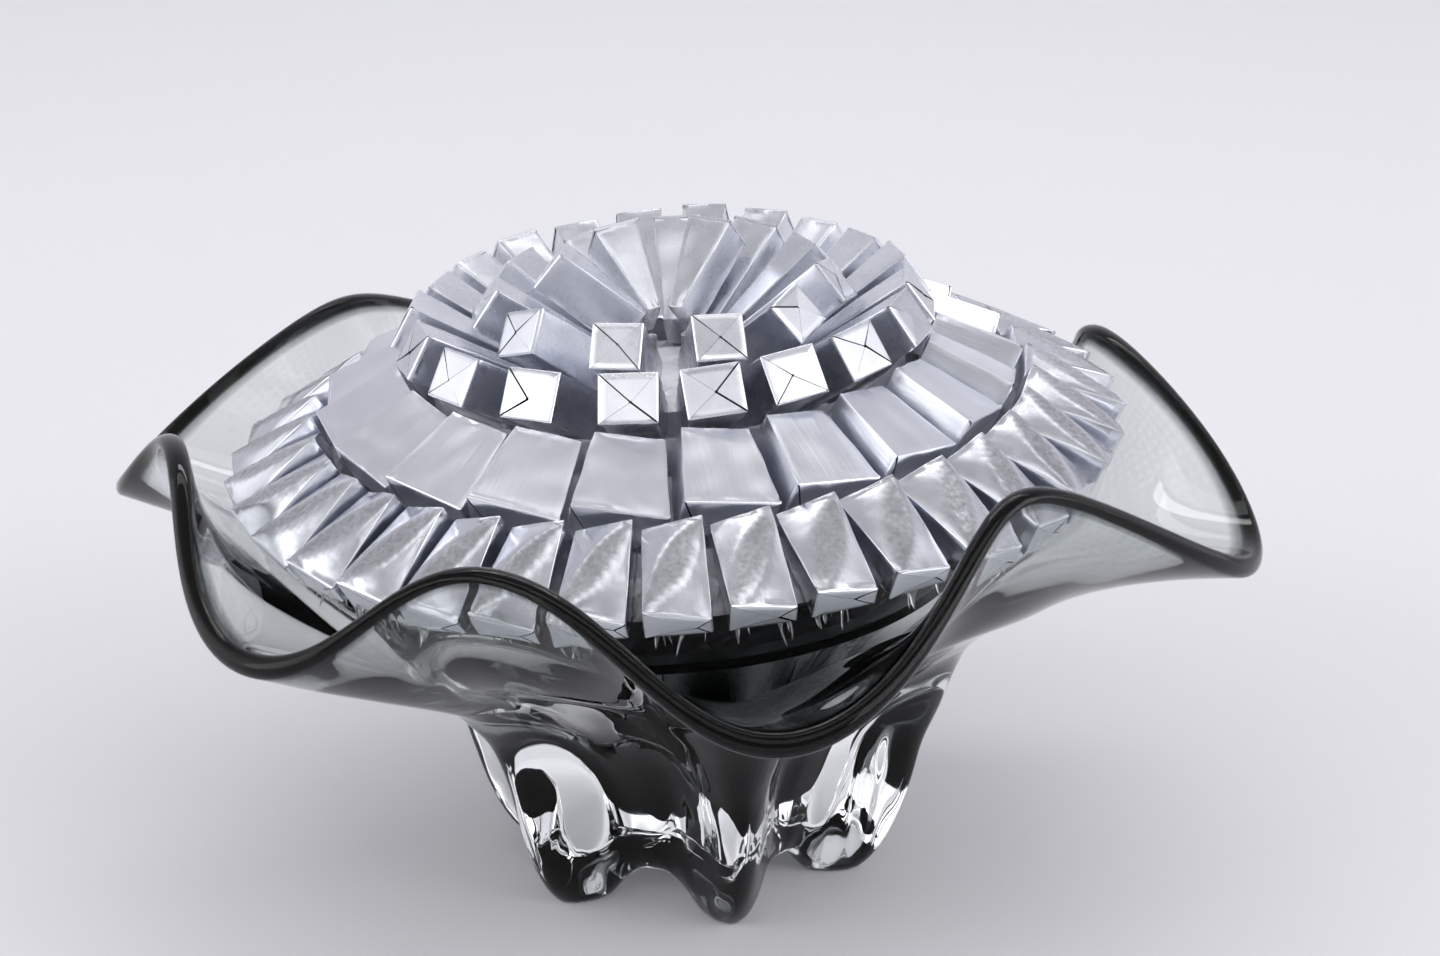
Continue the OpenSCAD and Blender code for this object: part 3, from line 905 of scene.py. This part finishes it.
def ripple(draw: random.Random, lengths: Pair, points: np.ndarray, count: int = 7) -> np.ndarray:
    """Seeded waves that make a surface a little uneven.

    Args:
        draw: Source of their directions and lengths.
        lengths: Least and greatest length.
        points: Points of the surface.
        count: Number of waves.

    Returns:
        Height of the waves at each point, about -1 to 1.
    """
    total = np.zeros(len(points))
    for _ in range(count):
        way = Vector((draw.gauss(0, 1), draw.gauss(0, 1), draw.gauss(0, 1))).normalized()
        length = draw.uniform(*lengths)
        total += np.sin(points @ (np.array(way) * 2 * math.pi / length) + draw.uniform(0, 2 * math.pi))
    return total / math.sqrt(count)


class Fold(Enum):
    """How the foil is folded over a bar's outer end."""

    ENVELOPE = "envelope"
    TURNED_DOWN = "turned_down"
    CORNER = "corner"


@dataclass
class Foil:
    """Foil as points and faces, with how much painted shade under a fold each point has and how dull it is.
    """

    points: np.ndarray
    faces: Faces
    smooth: list[bool]
    # Painted shade under the folds, from 0 to 1, at each point
    painted_fold_shade: np.ndarray
    patch: np.ndarray

    def join(self, more: "Foil") -> None:
        """Adds more foil to this one.

        Args:
            more: Foil whose corners are numbered on from these.
        """
        start = len(self.points)
        self.points = np.concatenate([self.points, more.points])
        self.faces = self.faces + [tuple(start + i for i in face) for face in more.faces]
        self.smooth = self.smooth + more.smooth
        self.painted_fold_shade = np.concatenate([self.painted_fold_shade, more.painted_fold_shade])
        self.patch = np.concatenate([self.patch, more.patch])


def crossing(a: np.ndarray, way_a: np.ndarray, b: np.ndarray, way_b: np.ndarray) -> np.ndarray:
    """Point where two lines in a plane cross, each given by a point and a direction."""
    return a + way_a * np.linalg.solve(np.stack([way_a, -way_b], 1), b - a)[0]


@dataclass
class Tier:
    """One ring of bars: where its outer ends stand and how a bar of it is made."""

    name: str
    reach: float
    height: float
    rise: float
    length: float
    outer_w: float
    inner_w: float
    thick: float
    look: FoilLook
    fold: Fold
    # Radius of the edges, and depths of the broad dents and of the puckers
    edge: float = 0.5
    uneven: float = 0.14
    pucker: float = 0.22
    # Depth of the bar's end under the folded foil
    recess: float = 0.55
    # Shares of the thickness at the inner left and the outer right corner, on both sides of the facet
    corners: Pair = (1.0, 1.0)
    # Half width of the dull facet from corner to corner, how soft its edges are, how hollow the slopes beside
    # it are, and the least share of the thickness
    facet: float = 0.0
    facet_soft: float = 0.03
    hollow: float = 0.0
    thinnest: float = 0.2
    # Spacing of the lattice, lengths of the broad and of the small waves and how far the puckers reach
    spacing: float = 1.8
    broad: Pair = (9, 22)
    small: Pair = (2.2, 4.5)
    pucker_reach: float = 2.0
    # Strength of the puckers along the floor, as a share, and the part of a normal that marks end or top
    floor_pucker: float = 0.7
    facing: float = 0.9

    def narrowed(self, less: float) -> "Tier":
        """The ring's bar with a narrower outer end."""
        width = self.outer_w - less
        return replace(self, outer_w=width, inner_w=min(self.inner_w, width))

    def across(self, points: np.ndarray) -> tuple[np.ndarray, np.ndarray]:
        """Where points of a plain block lie on the diagonal facet.

        Args:
            points: Points in the bar's own frame.

        Returns:
            How far each lies from the facet's middle, and the facet's half width there.
        """
        back = np.clip(-points[:, 0] / self.length, 0, 1)
        side = np.clip(points[:, 1] / self.outer_w + 0.5, 0, 1)
        return side - back, self.facet * np.sin(np.pi * np.clip((side + back) / 2, 0, 1))

    def shaped(self, points: np.ndarray) -> np.ndarray:
        """Points of a plain block given the bar's taper and the slopes of its top.

        Args:
            points: Points in the bar's own frame.

        Returns:
            The moved points.
        """
        p = points.copy()
        back = np.clip(-p[:, 0] / self.length, 0, 1)
        inner_left, outer_right = self.corners
        across, flat = self.across(p)
        soft = self.facet_soft
        left = (np.sqrt((across + flat) ** 2 + soft**2) - across - flat - soft) / 2
        right = (np.sqrt((across - flat) ** 2 + soft**2) + across - flat - soft) / 2
        top = 1.0 - (1.0 - inner_left) * left - (1.0 - outer_right) * right
        top -= self.hollow * (np.sin(np.pi * np.clip(left, 0, 1)) + np.sin(np.pi * np.clip(right, 0, 1)))
        top = np.clip(top, self.thinnest, 1.0)
        p[:, 2] = (p[:, 2] + self.thick / 2) * top - self.thick / 2
        p[:, 1] *= mix(1.0, self.inner_w / self.outer_w, back)
        return p

    def lines(self, low: float, high: float) -> np.ndarray:
        """Lattice lines between two ends, closer where the edges are rounded.

        Args:
            low: First end.
            high: Second end.

        Returns:
            The places of the lines.
        """
        inner = max(2, round((high - low - 2 * self.edge) / self.spacing) + 1)
        middle = np.linspace(low + self.edge, high - self.edge, inner)
        near = 0.35 * self.edge
        return np.concatenate([[low, low + near], middle, [high - near, high]])

    def block(self, draw: random.Random) -> Foil:
        """A rounded block in the bar's own frame, dented and puckered by its wrapping.

        Args:
            draw: Source of the bar's own differences.

        Returns:
            The block, with painted shade on its outer end, which the folds cover.
        """
        low = np.array([-self.length, -self.outer_w / 2, -self.thick / 2])
        high = np.array([-self.recess, self.outer_w / 2, self.thick / 2])
        lines = [self.lines(low[a], high[a]) for a in range(3)]
        keys, faces = shell_lattice(*(len(line) for line in lines))
        q = np.stack([lines[a][keys[:, a]] for a in range(3)], 1)
        core = np.clip(q, low + self.edge, high - self.edge)
        out = q - core
        out /= np.linalg.norm(out, axis=1, keepdims=True)
        p = core + out * self.edge
        broad = ripple(draw, self.broad, p)
        small = ripple(draw, self.small, p)
        from_end = np.minimum(-p[:, 0], p[:, 0] + self.length)
        near_end = np.exp(-np.maximum(from_end, 0) / self.pucker_reach) * (1 - np.abs(out[:, 0]))
        near_floor = np.exp(-(p[:, 2] - low[2]) / self.pucker_reach) * (1 - np.abs(out[:, 2]))
        puckers = np.maximum(near_end, near_floor * self.floor_pucker)
        depth = self.uneven * (broad - 1.0) + self.pucker * puckers * (small - 1.0)
        across, flat = self.across(p)
        soft = self.facet_soft
        patch = np.clip((flat + soft - np.abs(across)) / (2 * soft), 0, 1) * (out[:, 2] > self.facing)
        if not self.facet:
            patch[:] = 0
        # Painted shade on the outer end, where it shows between the folds
        painted_fold_shade = (out[:, 0] > self.facing).astype(float)
        return Foil(self.shaped(p + out * depth[:, None]), list(faces), [True] * len(faces), painted_fold_shade, patch)

    def flap(self, a: np.ndarray, b: np.ndarray, tip: np.ndarray, lift: float, gaps: Pair) -> Foil:
        """A folded triangle of foil on the outer end, rounded over its fold and lifted at its tip.

        Args:
            a: First end of the fold, in millimetres from the middle of the end.
            b: Second end of the fold.
            tip: Free corner.
            lift: How far the tip stands out from the fold.
            gaps: Room left beside the edges from a and from b to the tip.

        Returns:
            The closed flap.
        """
        def inward(start: np.ndarray, gap: float) -> tuple[np.ndarray, np.ndarray]:
            """A free edge moved in by a gap.

            Args:
                start: End of the fold that the edge starts from.
                gap: Room left beside it.

            Returns:
                A point on the moved edge and its direction.
            """
            way = (tip - start) / np.linalg.norm(tip - start)
            side = np.array([-way[1], way[0]])
            middle = (a + b + tip) / 3
            return start + side * gap * np.sign(side @ (middle - start)), way

        (left, left_way), (right, right_way) = inward(a, gaps[0]), inward(b, gaps[1])
        fold_a, fold_b = crossing(a, b - a, left, left_way), crossing(a, b - a, right, right_way)
        end = crossing(left, left_way, right, right_way)
        height = abs(np.cross(fold_b - fold_a, end - fold_a)) / np.linalg.norm(fold_b - fold_a)
        # Radius of the fold, where the flap's front and the foot of its walls lie, and its columns
        round_r, front, sunk, columns = 0.6, -0.06, -1.2, 6
        rows = [0.02, 0.18, round_r] + [mix(round_r, height, k) for k in (0.25, 0.5, 0.75, 0.97)]
        top = []
        for inset in rows:
            free = inset / height
            bend = max(round_r - inset, 0.0)
            x = front - round_r + math.sqrt(round_r**2 - bend**2) + lift * free
            for j in range(columns + 1):
                flat = mix(mix(fold_a, end, free), mix(fold_b, end, free), j / columns)
                top.append([x, *flat])
        n = columns + 1
        last = len(rows) - 1
        faces = [
            (i * n + j, i * n + j + 1, (i + 1) * n + j + 1, (i + 1) * n + j)
            for i in range(last) for j in range(columns)
        ]
        rim = list(range(n)) + [i * n + columns for i in range(1, last)]
        rim += [last * n + j for j in range(columns, -1, -1)] + [i * n for i in range(last - 1, 0, -1)]
        points = np.array(top)
        wall = points[rim]
        floor = wall * [0, 1, 1] + [sunk, 0, 0]
        base = len(points)
        m = len(rim)
        folded = np.array([i < n for i in rim])
        # Painted shade on the walls of the free edges: half at the top of a wall, full at its foot
        painted_shades = np.concatenate([np.zeros(base), np.where(folded, 0, 0.5), np.where(folded, 0, 1.0)])
        for i in range(m):
            j = (i + 1) % m
            faces.append((base + j, base + i, base + m + i, base + m + j))
        faces.append(tuple(base + m + i for i in range(m))[::-1])
        if np.cross(fold_b - fold_a, end - fold_a) < 0:
            faces = [face[::-1] for face in faces]
        points = np.concatenate([points, wall, floor])
        shaped = self.shaped(points * [0, 1, 1])
        shaped[:, 0] = points[:, 0] - self.uneven
        smooth = [True] * (last * columns) + [False] * (m + 1)
        return Foil(shaped, faces, smooth, painted_shades, np.zeros(len(points)))

    def folded_end(self, draw: random.Random) -> list[Foil]:
        """The folds of one outer end: four triangles that meet near one point, some with a gap between.

        Args:
            draw: Source of the bar's own differences.

        Returns:
            The flaps.
        """
        def near(value: float, spread: float) -> float:
            """A value changed by at most a spread."""
            return value + draw.uniform(-spread, spread)

        shut = 0.04
        if self.fold is Fold.ENVELOPE:
            meet = (near(0, 0.2), near(0.0, 0.2))
            gaps = [shut] * 4
            wide = draw.randrange(4)
            gaps[wide] = near(0.22, 0.1)
            gaps[(wide + draw.choice((1, 2, 2))) % 4] = near(0.16, 0.08)
            lifts = [near(0.1, 0.35) for _ in range(4)]
        elif self.fold is Fold.TURNED_DOWN:
            meet = (near(0.45, 0.2), near(-0.1, 0.25))
            gaps = [shut, near(0.3, 0.1), near(0.2, 0.1), shut]
            lifts = [near(0.1, 0.2) for _ in range(4)]
        else:
            meet = (near(-0.62, 0.12), near(-0.7, 0.12))
            gaps = [shut, shut, shut, near(0.22, 0.08)]
            lifts = [near(0.0, 0.08) for _ in range(4)]
        half = np.array([self.outer_w / 2 - self.uneven, self.thick / 2 - self.uneven])
        ring = [np.array(c) * half for c in ((-1, -1), (1, -1), (1, 1), (-1, 1))]
        tip = np.array(meet) * half
        return [
            self.flap(ring[i], ring[(i + 1) % 4], tip, lifts[i], (gaps[i], gaps[(i + 1) % 4]))
            for i in range(4)
        ]

    def bar(self, seed: str) -> tuple[Foil, np.ndarray]:
        """One wrapped bar in its own frame.

        Args:
            seed: Words that settle the bar's own differences.

        Returns:
            The bar, and where each point lies on the wrapping.
        """
        draw = random.Random(seed)
        made = self.block(draw)
        for flap in self.folded_end(draw):
            made.join(flap)
        # Bars take their dents from places far apart
        apart = 400
        offset = np.array([draw.uniform(0, apart) for _ in range(3)])
        return made, made.points + offset


@dataclass(frozen=True)
class Place:
    """How a bar stands in its ring: bearing and roll, how far it stands out and how much narrower it is."""

    bearing: float
    roll: float = 0.0
    out: float = 0.0
    narrower: float = 0.0


@dataclass
class FoilMound:
    """The mound of foil-wrapped bars on its foam, leaning in the bowl."""

    axis: np.ndarray
    lean_right: float = 4.6
    lean_back: float = 1.4
    shift: float = -5.5
    pivot: float = 150.0
    skirt_count: int = 36
    slab_count: int = 21
    skirt_first: float = 0.5
    slab_first: float = 262.0
    slab_roll: float = -13.0
    skirt_groups: int = 6
    slab_groups: int = 3

    def __post_init__(self) -> None:
        """Sets out the rings, each inside and above the last."""
        self.skirt = Tier(
            "skirt", 130.0, 131.5, -30, 31.5, 18.4, 16.8, 11, FoilLook.CREASED, Fold.TURNED_DOWN,
            uneven=0.12, pucker=0.3, corners=(0.45, 0.45), facet=0.24, hollow=0.05,
        )
        self.slab = Tier("slab", 98.7, 146.1, -28, 27.5, 27.36, 19.64, 14, FoilLook.ROLLED, Fold.CORNER)
        self.ray = Tier("ray", 75.0, 174.5, 32, 44, 17, 8.71, 14.5, FoilLook.SATIN, Fold.ENVELOPE)
        self.crown = Tier("crown", 51.0, 180.8, 37, 38, 15, 6.52, 14, FoilLook.SATIN, Fold.ENVELOPE)
        self.heart = Tier("heart", 32.5, 188.4, 42, 31, 15, 4.46, 13.5, FoilLook.SATIN, Fold.ENVELOPE)
        # A ray has its bearing, how far it stands out and how much narrower it is, a crown bar its bearing,
        # its roll and how far it stands out, and a heart bar its bearing and roll
        self.ray_set = [
            (176, 1.5, 1), (196, 0, 0), (219, 0.5, 0), (241, 0, 0), (263, 0, 0), (281, 0, 0), (299, 0.5, 0),
            (318, 0, 0), (339, 1, 0), (357, 0, 0.5), (15, 1, 1), (32, 0, 2), (48, 0.5, 2.5), (64, 2, 2.5),
            (80, 3.5, 3), (96, 2.5, 2.5), (112, 1.5, 2.5), (128, 2.5, 2), (144, 1, 2), (160, 0, 1.5),
        ]
        self.crown_set = [
            (184, 0, 1), (218, 18, 0), (256, 0, 0), (289, -8, 0), (320, 14, 0), (353, -15, 0.5),
            (24, 0, 0), (54, 8, 1), (84, 0, 1.5), (118, -8, 0), (152, 0, 1),
        ]
        self.heart_set = [(58, 3), (116, -4), (172, 5)]

    def lean(self) -> Matrix:
        """From the mound's own frame to the part's."""
        return (
            Matrix.Translation((self.axis[0] + self.shift, self.axis[1], self.pivot))
            @ Matrix.Rotation(math.radians(self.lean_back), 4, "X")
            @ Matrix.Rotation(math.radians(-self.lean_right), 4, "Y")
            @ Matrix.Translation((0, 0, -self.pivot))
        )

    def stand(self, tier: Tier, place: Place) -> Matrix:
        """From a bar's own frame to the part's."""
        return (
            self.lean()
            @ Matrix.Rotation(math.radians(place.bearing), 4, "Z")
            @ Matrix.Translation((tier.reach, 0, tier.height))
            @ Matrix.Rotation(math.radians(-tier.rise), 4, "Y")
            @ Matrix.Rotation(math.radians(place.roll), 4, "X")
            @ Matrix.Translation((place.out, 0, 0))
        )

    def piece(
        self, node: str, tier: Tier, places: list[Place], foil: bpy.types.Material, body: str,
    ) -> bpy.types.Object:
        """The bars of one CAD node as one piece.

        Args:
            node: CAD node that the piece stands for.
            tier: The ring.
            places: How each bar stands in it.
            foil: The foil's material.
            body: Body that it rides on.

        Returns:
            The piece.
        """
        whole, wraps = None, []
        for n, place in enumerate(places):
            bar, wrap = tier.narrowed(place.narrower).bar(f"{node}_{n}")
            matrix = np.array(self.stand(tier, place))
            bar.points = bar.points @ matrix[:3, :3].T + matrix[:3, 3]
            wraps.append(wrap)
            if whole is None:
                whole = bar
            else:
                whole.join(bar)
        made = mesh_piece(f"{node}_foil", whole.points, whole.faces, whole.smooth)
        layer = made.data.attributes.new(WRAP, "FLOAT_VECTOR", "POINT")
        layer.data.foreach_set("vector", np.concatenate(wraps).astype(np.float32).ravel())
        # Masks of painted shade under the folds and of dull patches
        for name, mask in ((PAINTED_SHADE, whole.painted_fold_shade), (PATCH, whole.patch)):
            layer = made.data.attributes.new(name, "FLOAT", "POINT")
            layer.data.foreach_set("value", mask.astype(np.float32))
        dress(made, foil)
        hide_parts(node)
        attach(made, body)
        return made

    def build(self, foils: dict[FoilLook, bpy.types.Material]) -> list[bpy.types.Object]:
        """Makes every bar.

        Args:
            foils: Material for each look of the foil.

        Returns:
            The pieces.
        """
        made = []
        rings = (
            (self.skirt, "skirt_bars", self.skirt_count, self.skirt_first, 0.0, self.skirt_groups),
            (self.slab, "slab_bars", self.slab_count, self.slab_first, self.slab_roll, self.slab_groups),
        )
        for tier, stem, count, first, roll, groups in rings:
            places = [Place(first + 360 * i / count, roll) for i in range(count)]
            size = count // groups
            for g in range(groups):
                node = f"{stem}_{g + 1:02d}"
                group = places[g * size:(g + 1) * size]
                made.append(self.piece(node, tier, group, foils[tier.look], "mound"))
        singles = (
            (self.ray, "ray_bar", [Place(b, 0.0, out, less) for b, out, less in self.ray_set]),
            (self.crown, "crown_bar", [Place(b, roll, out) for b, roll, out in self.crown_set]),
            (self.heart, "heart_bar", [Place(b, roll) for b, roll in self.heart_set]),
        )
        for tier, stem, places in singles:
            for n, place in enumerate(places, 1):
                node = f"{stem}_{n:02d}"
                made.append(self.piece(node, tier, [place], foils[tier.look], node))
        return made


@dataclass
class GlueStrings:
    """Strings of glue that set while they hung from the outer ends of the front skirt bars."""

    # First and last bar that has strings, and strings for each bar
    first: int = 22
    last: int = 31
    each: int = 5
    # Where strings hang on: back from the bar's end, aside as a share of its width, and how deep in the bar
    back: Pair = (0.8, 7.0)
    aside: float = 0.46
    sunk: float = 0.3
    # Clear space that stays to the glass, how much longer than its drop a string can be, and the shortest one
    spare: float = 2.0
    slant: float = 1.2
    shortest: float = 2.0
    length: Pair = (4.0, 10.0)
    thick: Pair = (0.9, 2.2)
    # Greatest thickness and forward lean as shares of the length, and share of thickness lost at the point
    stout: float = 0.3
    forward: float = 0.15
    taper: float = 0.93
    # Greatest lean to the side as a share of the length, greatest bow in millimetres, flatness, greatest
    # unevenness, and the angle in radians that the lumps run through
    drift: float = 0.4
    bow: float = 0.8
    flat: Pair = (0.3, 0.7)
    uneven: float = 0.35
    lumps: float = 9.0
    rows: int = 7
    sides: int = 6

    def string(self, draw: random.Random, start: Vector, space: float) -> tuple[np.ndarray, Faces]:
        """One flattened string, thick where it hangs on and drawn out to a point.

        Args:
            draw: Source of its own shape.
            start: Where it hangs on, in the part's frame.
            space: Longest way that it can go before it comes near the glass.

        Returns:
            Points and faces of the closed string.
        """
        length = min(draw.uniform(*self.length), space)
        thick = min(draw.uniform(*self.thick), self.stout * length)
        drift = draw.uniform(-self.drift, self.drift)
        flat = draw.uniform(*self.flat)
        turn = draw.uniform(0, math.pi)
        bow = draw.uniform(-self.bow, self.bow)
        uneven = draw.uniform(0.0, self.uneven)
        points = []
        for row in range(self.rows + 1):
            t = row / self.rows
            radius = thick * (1 - self.taper * t) * (1 + uneven * math.sin(self.lumps * t))
            aside = drift * length * t + bow * math.sin(math.pi * t)
            middle = np.array([aside, -self.forward * length * t, -length * t])
            for side in range(self.sides):
                angle = 2 * math.pi * side / self.sides
                along_flat, across_flat = radius * math.cos(angle), flat * radius * math.sin(angle)
                points.append(middle + [
                    along_flat * math.cos(turn) - across_flat * math.sin(turn),
                    along_flat * math.sin(turn) + across_flat * math.cos(turn), 0.0,
                ])
        n = self.sides
        faces: Faces = [tuple(range(n)), tuple(self.rows * n + i for i in reversed(range(n)))]
        for row in range(self.rows):
            for i in range(n):
                a, b = row * n + i, row * n + (i + 1) % n
                faces.append((b, a, a + n, b + n))
        return np.array(points) + np.array(start), faces

    def build(self, mound: FoilMound, glass: bpy.types.Object, glue: bpy.types.Material) -> bpy.types.Object:
        """Makes the strings of all front bars as one piece.

        Args:
            mound: The mound that they hang from.
            glass: The bowl's outer skin, which no string touches.
            glue: Glue.

        Returns:
            The piece.
        """
        draw = random.Random("glue_strings")
        tier = mound.skirt
        wall = BVHTree.FromPolygons(
            [v.co for v in glass.data.vertices], [face.vertices for face in glass.data.polygons]
        )
        points, faces = np.zeros((0, 3)), []
        for bar in range(self.first, self.last + 1):
            matrix = mound.stand(tier, Place(mound.skirt_first + 360 * bar / mound.skirt_count))
            for _ in range(self.each):
                side = draw.uniform(-self.aside, self.aside) * tier.outer_w
                start = matrix @ Vector((-draw.uniform(*self.back), side, self.sunk - tier.thick / 2))
                space = (wall.find_nearest(start * MM)[3] / MM - self.spare) / self.slant
                if space < self.shortest:
                    continue
                more, more_faces = self.string(draw, start, space)
                faces += [tuple(len(points) + i for i in face) for face in more_faces]
                points = np.concatenate([points, more])
        made = mesh_piece("skirt_glue_strings", points, faces)
        dress(made, glue)
        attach(made, "mound")
        return made


@dataclass
class MoundBase:
    """Plate, foam and glue under the bars, which keep their CAD shapes."""

    plates: tuple[str, ...] = ("support_disc",)
    foams: tuple[str, ...] = ("foam_base", "foam_hub")
    glues: tuple[str, ...] = ("skirt_glue", "slab_glue", "ray_glue", "crown_glue", "heart_glue")

    def dress(
        self, plate: bpy.types.Material, foam: bpy.types.Material, glue: bpy.types.Material,
    ) -> list[bpy.types.Object]:
        """Gives each node its material.

        Args:
            plate: The plate's plastic.
            foam: Crushed foil round the foam.
            glue: Glue.

        Returns:
            The nodes' objects.
        """
        done = []
        for names, finish, slot in (
            (self.plates, plate, "base_plate"), (self.foams, foam, "foam"), (self.glues, glue, "glue"),
        ):
            for name in names:
                piece = frame["nodes"][name]
                dress(piece, finish)
                done.append(piece)
        return done


@dataclass(frozen=True)
class SoftBox:
    """A lamp with a broad face."""

    name: str
    place: Triple
    aim: Triple
    size: Pair
    watts: float

    def build(self) -> None:
        """Puts the lamp in the scene."""
        lamp = bpy.data.lights.new(self.name, "AREA")
        lamp.shape = "RECTANGLE"
        lamp.size, lamp.size_y = self.size
        lamp.energy = self.watts
        made = bpy.data.objects.new(self.name, lamp)
        made.location = self.place
        way = Vector(self.aim) - Vector(self.place)
        made.rotation_euler = way.to_track_quat("-Z", "Y").to_euler()
        bpy.context.scene.collection.objects.link(made)


@dataclass
class Studio:
    """Pale paper sweep, soft lamps and the camera at the photograph's angle, in metres."""

    target: Triple
    elevation: float = 22.0
    distance: float = 1.0
    lens: float = 83.33
    sensor: float = 36.0
    picture: tuple[int, int] = (1440, 956)
    aim_pixel: tuple[int, int] = (689, 575)
    # Light of the room behind the camera, of the ceiling and of the walls beside and behind the object
    room: Colour = (0.36, 0.36, 0.378)
    ceiling: Colour = (0.42, 0.42, 0.44)
    horizon: Colour = (1.22, 1.22, 1.275)
    # Part of a direction along Z where the ceiling gives way to the walls, and along Y where the room does
    ceiling_ends: Pair = (0.8, 0.3)
    room_ends: Pair = (-0.85, -0.2)
    # Height of the floor in millimetres, just under the feet
    floor: float = -0.3
    lamps: tuple[SoftBox, ...] = (
        SoftBox("overhead", (0.0, -0.3, 1.5), (0, -0.1, 0.15), (1.6, 0.4), 2.0),
        SoftBox("front_window", (0.0, -1.25, 1.06), (0, 0, 0.15), (1.8, 0.7), 2.9),
        SoftBox("left_window", (-1.75, -0.9, 0.95), (0, 0, 0.05), (1.8, 1.5), 11.0),
        SoftBox("right_window", (1.75, -0.9, 0.95), (0, 0, 0.05), (1.8, 1.5), 14.5),
        SoftBox("rear_window", (-0.05, 0.8, 1.3), (0, 0, 0.12), (0.9, 0.1), 1.6),
        SoftBox("backdrop", (0.0, 0.9, 1.9), (0, 2.0, 0.5), (2.4, 0.6), 6.8),
        SoftBox("spot", (-0.4, -0.7, 1.3), (0, 0, 0.12), (0.07, 0.07), 0.12),
    )

    def sweep(self, paper: bpy.types.Material) -> bpy.types.Object:
        """Floor that curves up into the background.

        Args:
            paper: Its material.

        Returns:
            The sweep.
        """
        # In millimetres, as all meshes are given
        width, front, back, round_r, top = 7000, -4000, 1500, 900, 3600
        profile = [(front, self.floor), (back, self.floor)]
        steps = 24
        for i in range(1, steps + 1):
            turn = math.pi / 2 * i / steps
            profile.append((back + round_r * math.sin(turn), self.floor + round_r * (1 - math.cos(turn))))
        profile.append((back + round_r, top))
        points = [(x, y, z) for y, z in profile for x in (-width / 2, width / 2)]
        faces = [(2 * i, 2 * i + 1, 2 * i + 3, 2 * i + 2) for i in range(len(profile) - 1)]
        made = mesh_piece("paper_sweep", np.array(points, float), faces)
        made.data.materials.append(paper)
        return made

    def camera(self) -> None:
        """Camera at the photograph's angle and framing."""
        data = bpy.data.cameras.new("photo_camera")
        data.lens = self.lens
        data.sensor_width = self.sensor
        width, height = self.picture
        data.shift_x = (width / 2 - self.aim_pixel[0]) / width
        data.shift_y = (self.aim_pixel[1] - height / 2) / width
        made = bpy.data.objects.new("photo_camera", data)
        up = math.radians(self.elevation)
        away = Vector((0, -math.cos(up), math.sin(up))) * self.distance
        made.location = Vector(self.target) + away
        made.rotation_euler = (-away).to_track_quat("-Z", "Y").to_euler()
        bpy.context.scene.collection.objects.link(made)
        bpy.context.scene.camera = made

    def build(self, paper: bpy.types.Material) -> None:
        """Sets up background, light and camera.

        Args:
            paper: Background paper.
        """
        scene = bpy.context.scene
        scene.view_settings.view_transform = "Standard"
        # Light passes through the glass and between the bars many times
        scene.cycles.max_bounces = 32
        scene.cycles.transmission_bounces = 32
        scene.cycles.glossy_bounces = 12
        world = bpy.data.worlds.new("studio_air")
        world.use_nodes = True
        nodes = Nodes(world.node_tree)
        way = nodes.add("ShaderNodeTexCoord").outputs["Generated"]
        low = nodes.span(nodes.axis(way, "Z"), *self.ceiling_ends)
        behind = nodes.span(nodes.axis(way, "Y"), *self.room_ends)
        tone = nodes.blend(behind, self.room, nodes.blend(low, self.ceiling, self.horizon))
        air = nodes.add("ShaderNodeBackground", {"Color": tone, "Strength": 1.0})
        nodes.add("ShaderNodeOutputWorld", {"Surface": air.outputs["Background"]})
        scene.world = world
        self.sweep(paper)
        for lamp in self.lamps:
            lamp.build()
        self.camera()


def main() -> None:
    """Builds the glass, the mound and the studio and reports each piece."""
    logging.basicConfig(level=logging.INFO, format="%(name)s: %(message)s")
    for old in [o for o in bpy.context.scene.objects if o.name in ("Cube", "Light", "Camera")]:
        bpy.data.objects.remove(old)
    bowl = GlassBowl()
    made = bowl.build(ClearGlass().material(), SmokeGlass().material())
    finishes = (
        SilverFoil(FoilLook.SATIN),
        SilverFoil(
            FoilLook.ROLLED, dull=(0.78, 0.795, 0.85), shine=0.29, dullness=0.33, relief=0.03,
            line_relief=0.06, fineness=1.2,
        ),
        SilverFoil(FoilLook.CREASED, shine=0.18, dullness=0.28, relief=0.22),
        SilverFoil(
            FoilLook.CRUSHED, pale=(0.88, 0.88, 0.9), dull=(0.7, 0.7, 0.73), dents=0.12, creases=0.1,
            crease_depth=0.3, relief=0.6, shine=0.5, dullness=0.65,
        ),
    )
    foils = {finish.look: finish.material() for finish in finishes}
    mound = FoilMound(bowl.axis)
    made += mound.build(foils)
    glue = HotGlue().material()
    made.append(GlueStrings().build(mound, made[0], glue))
    made += MoundBase().dress(SmokedPlate().material(), foils[FoilLook.CRUSHED], glue)
    aim_height = 0.09
    target = (bowl.axis[0] * MM, bowl.axis[1] * MM, aim_height)
    Studio(target).build(PaperSweep().material())
    for piece in made:
        LOG.info("%s: %d faces", piece.name, len(piece.data.polygons))


if __name__ == "__main__":
    main()
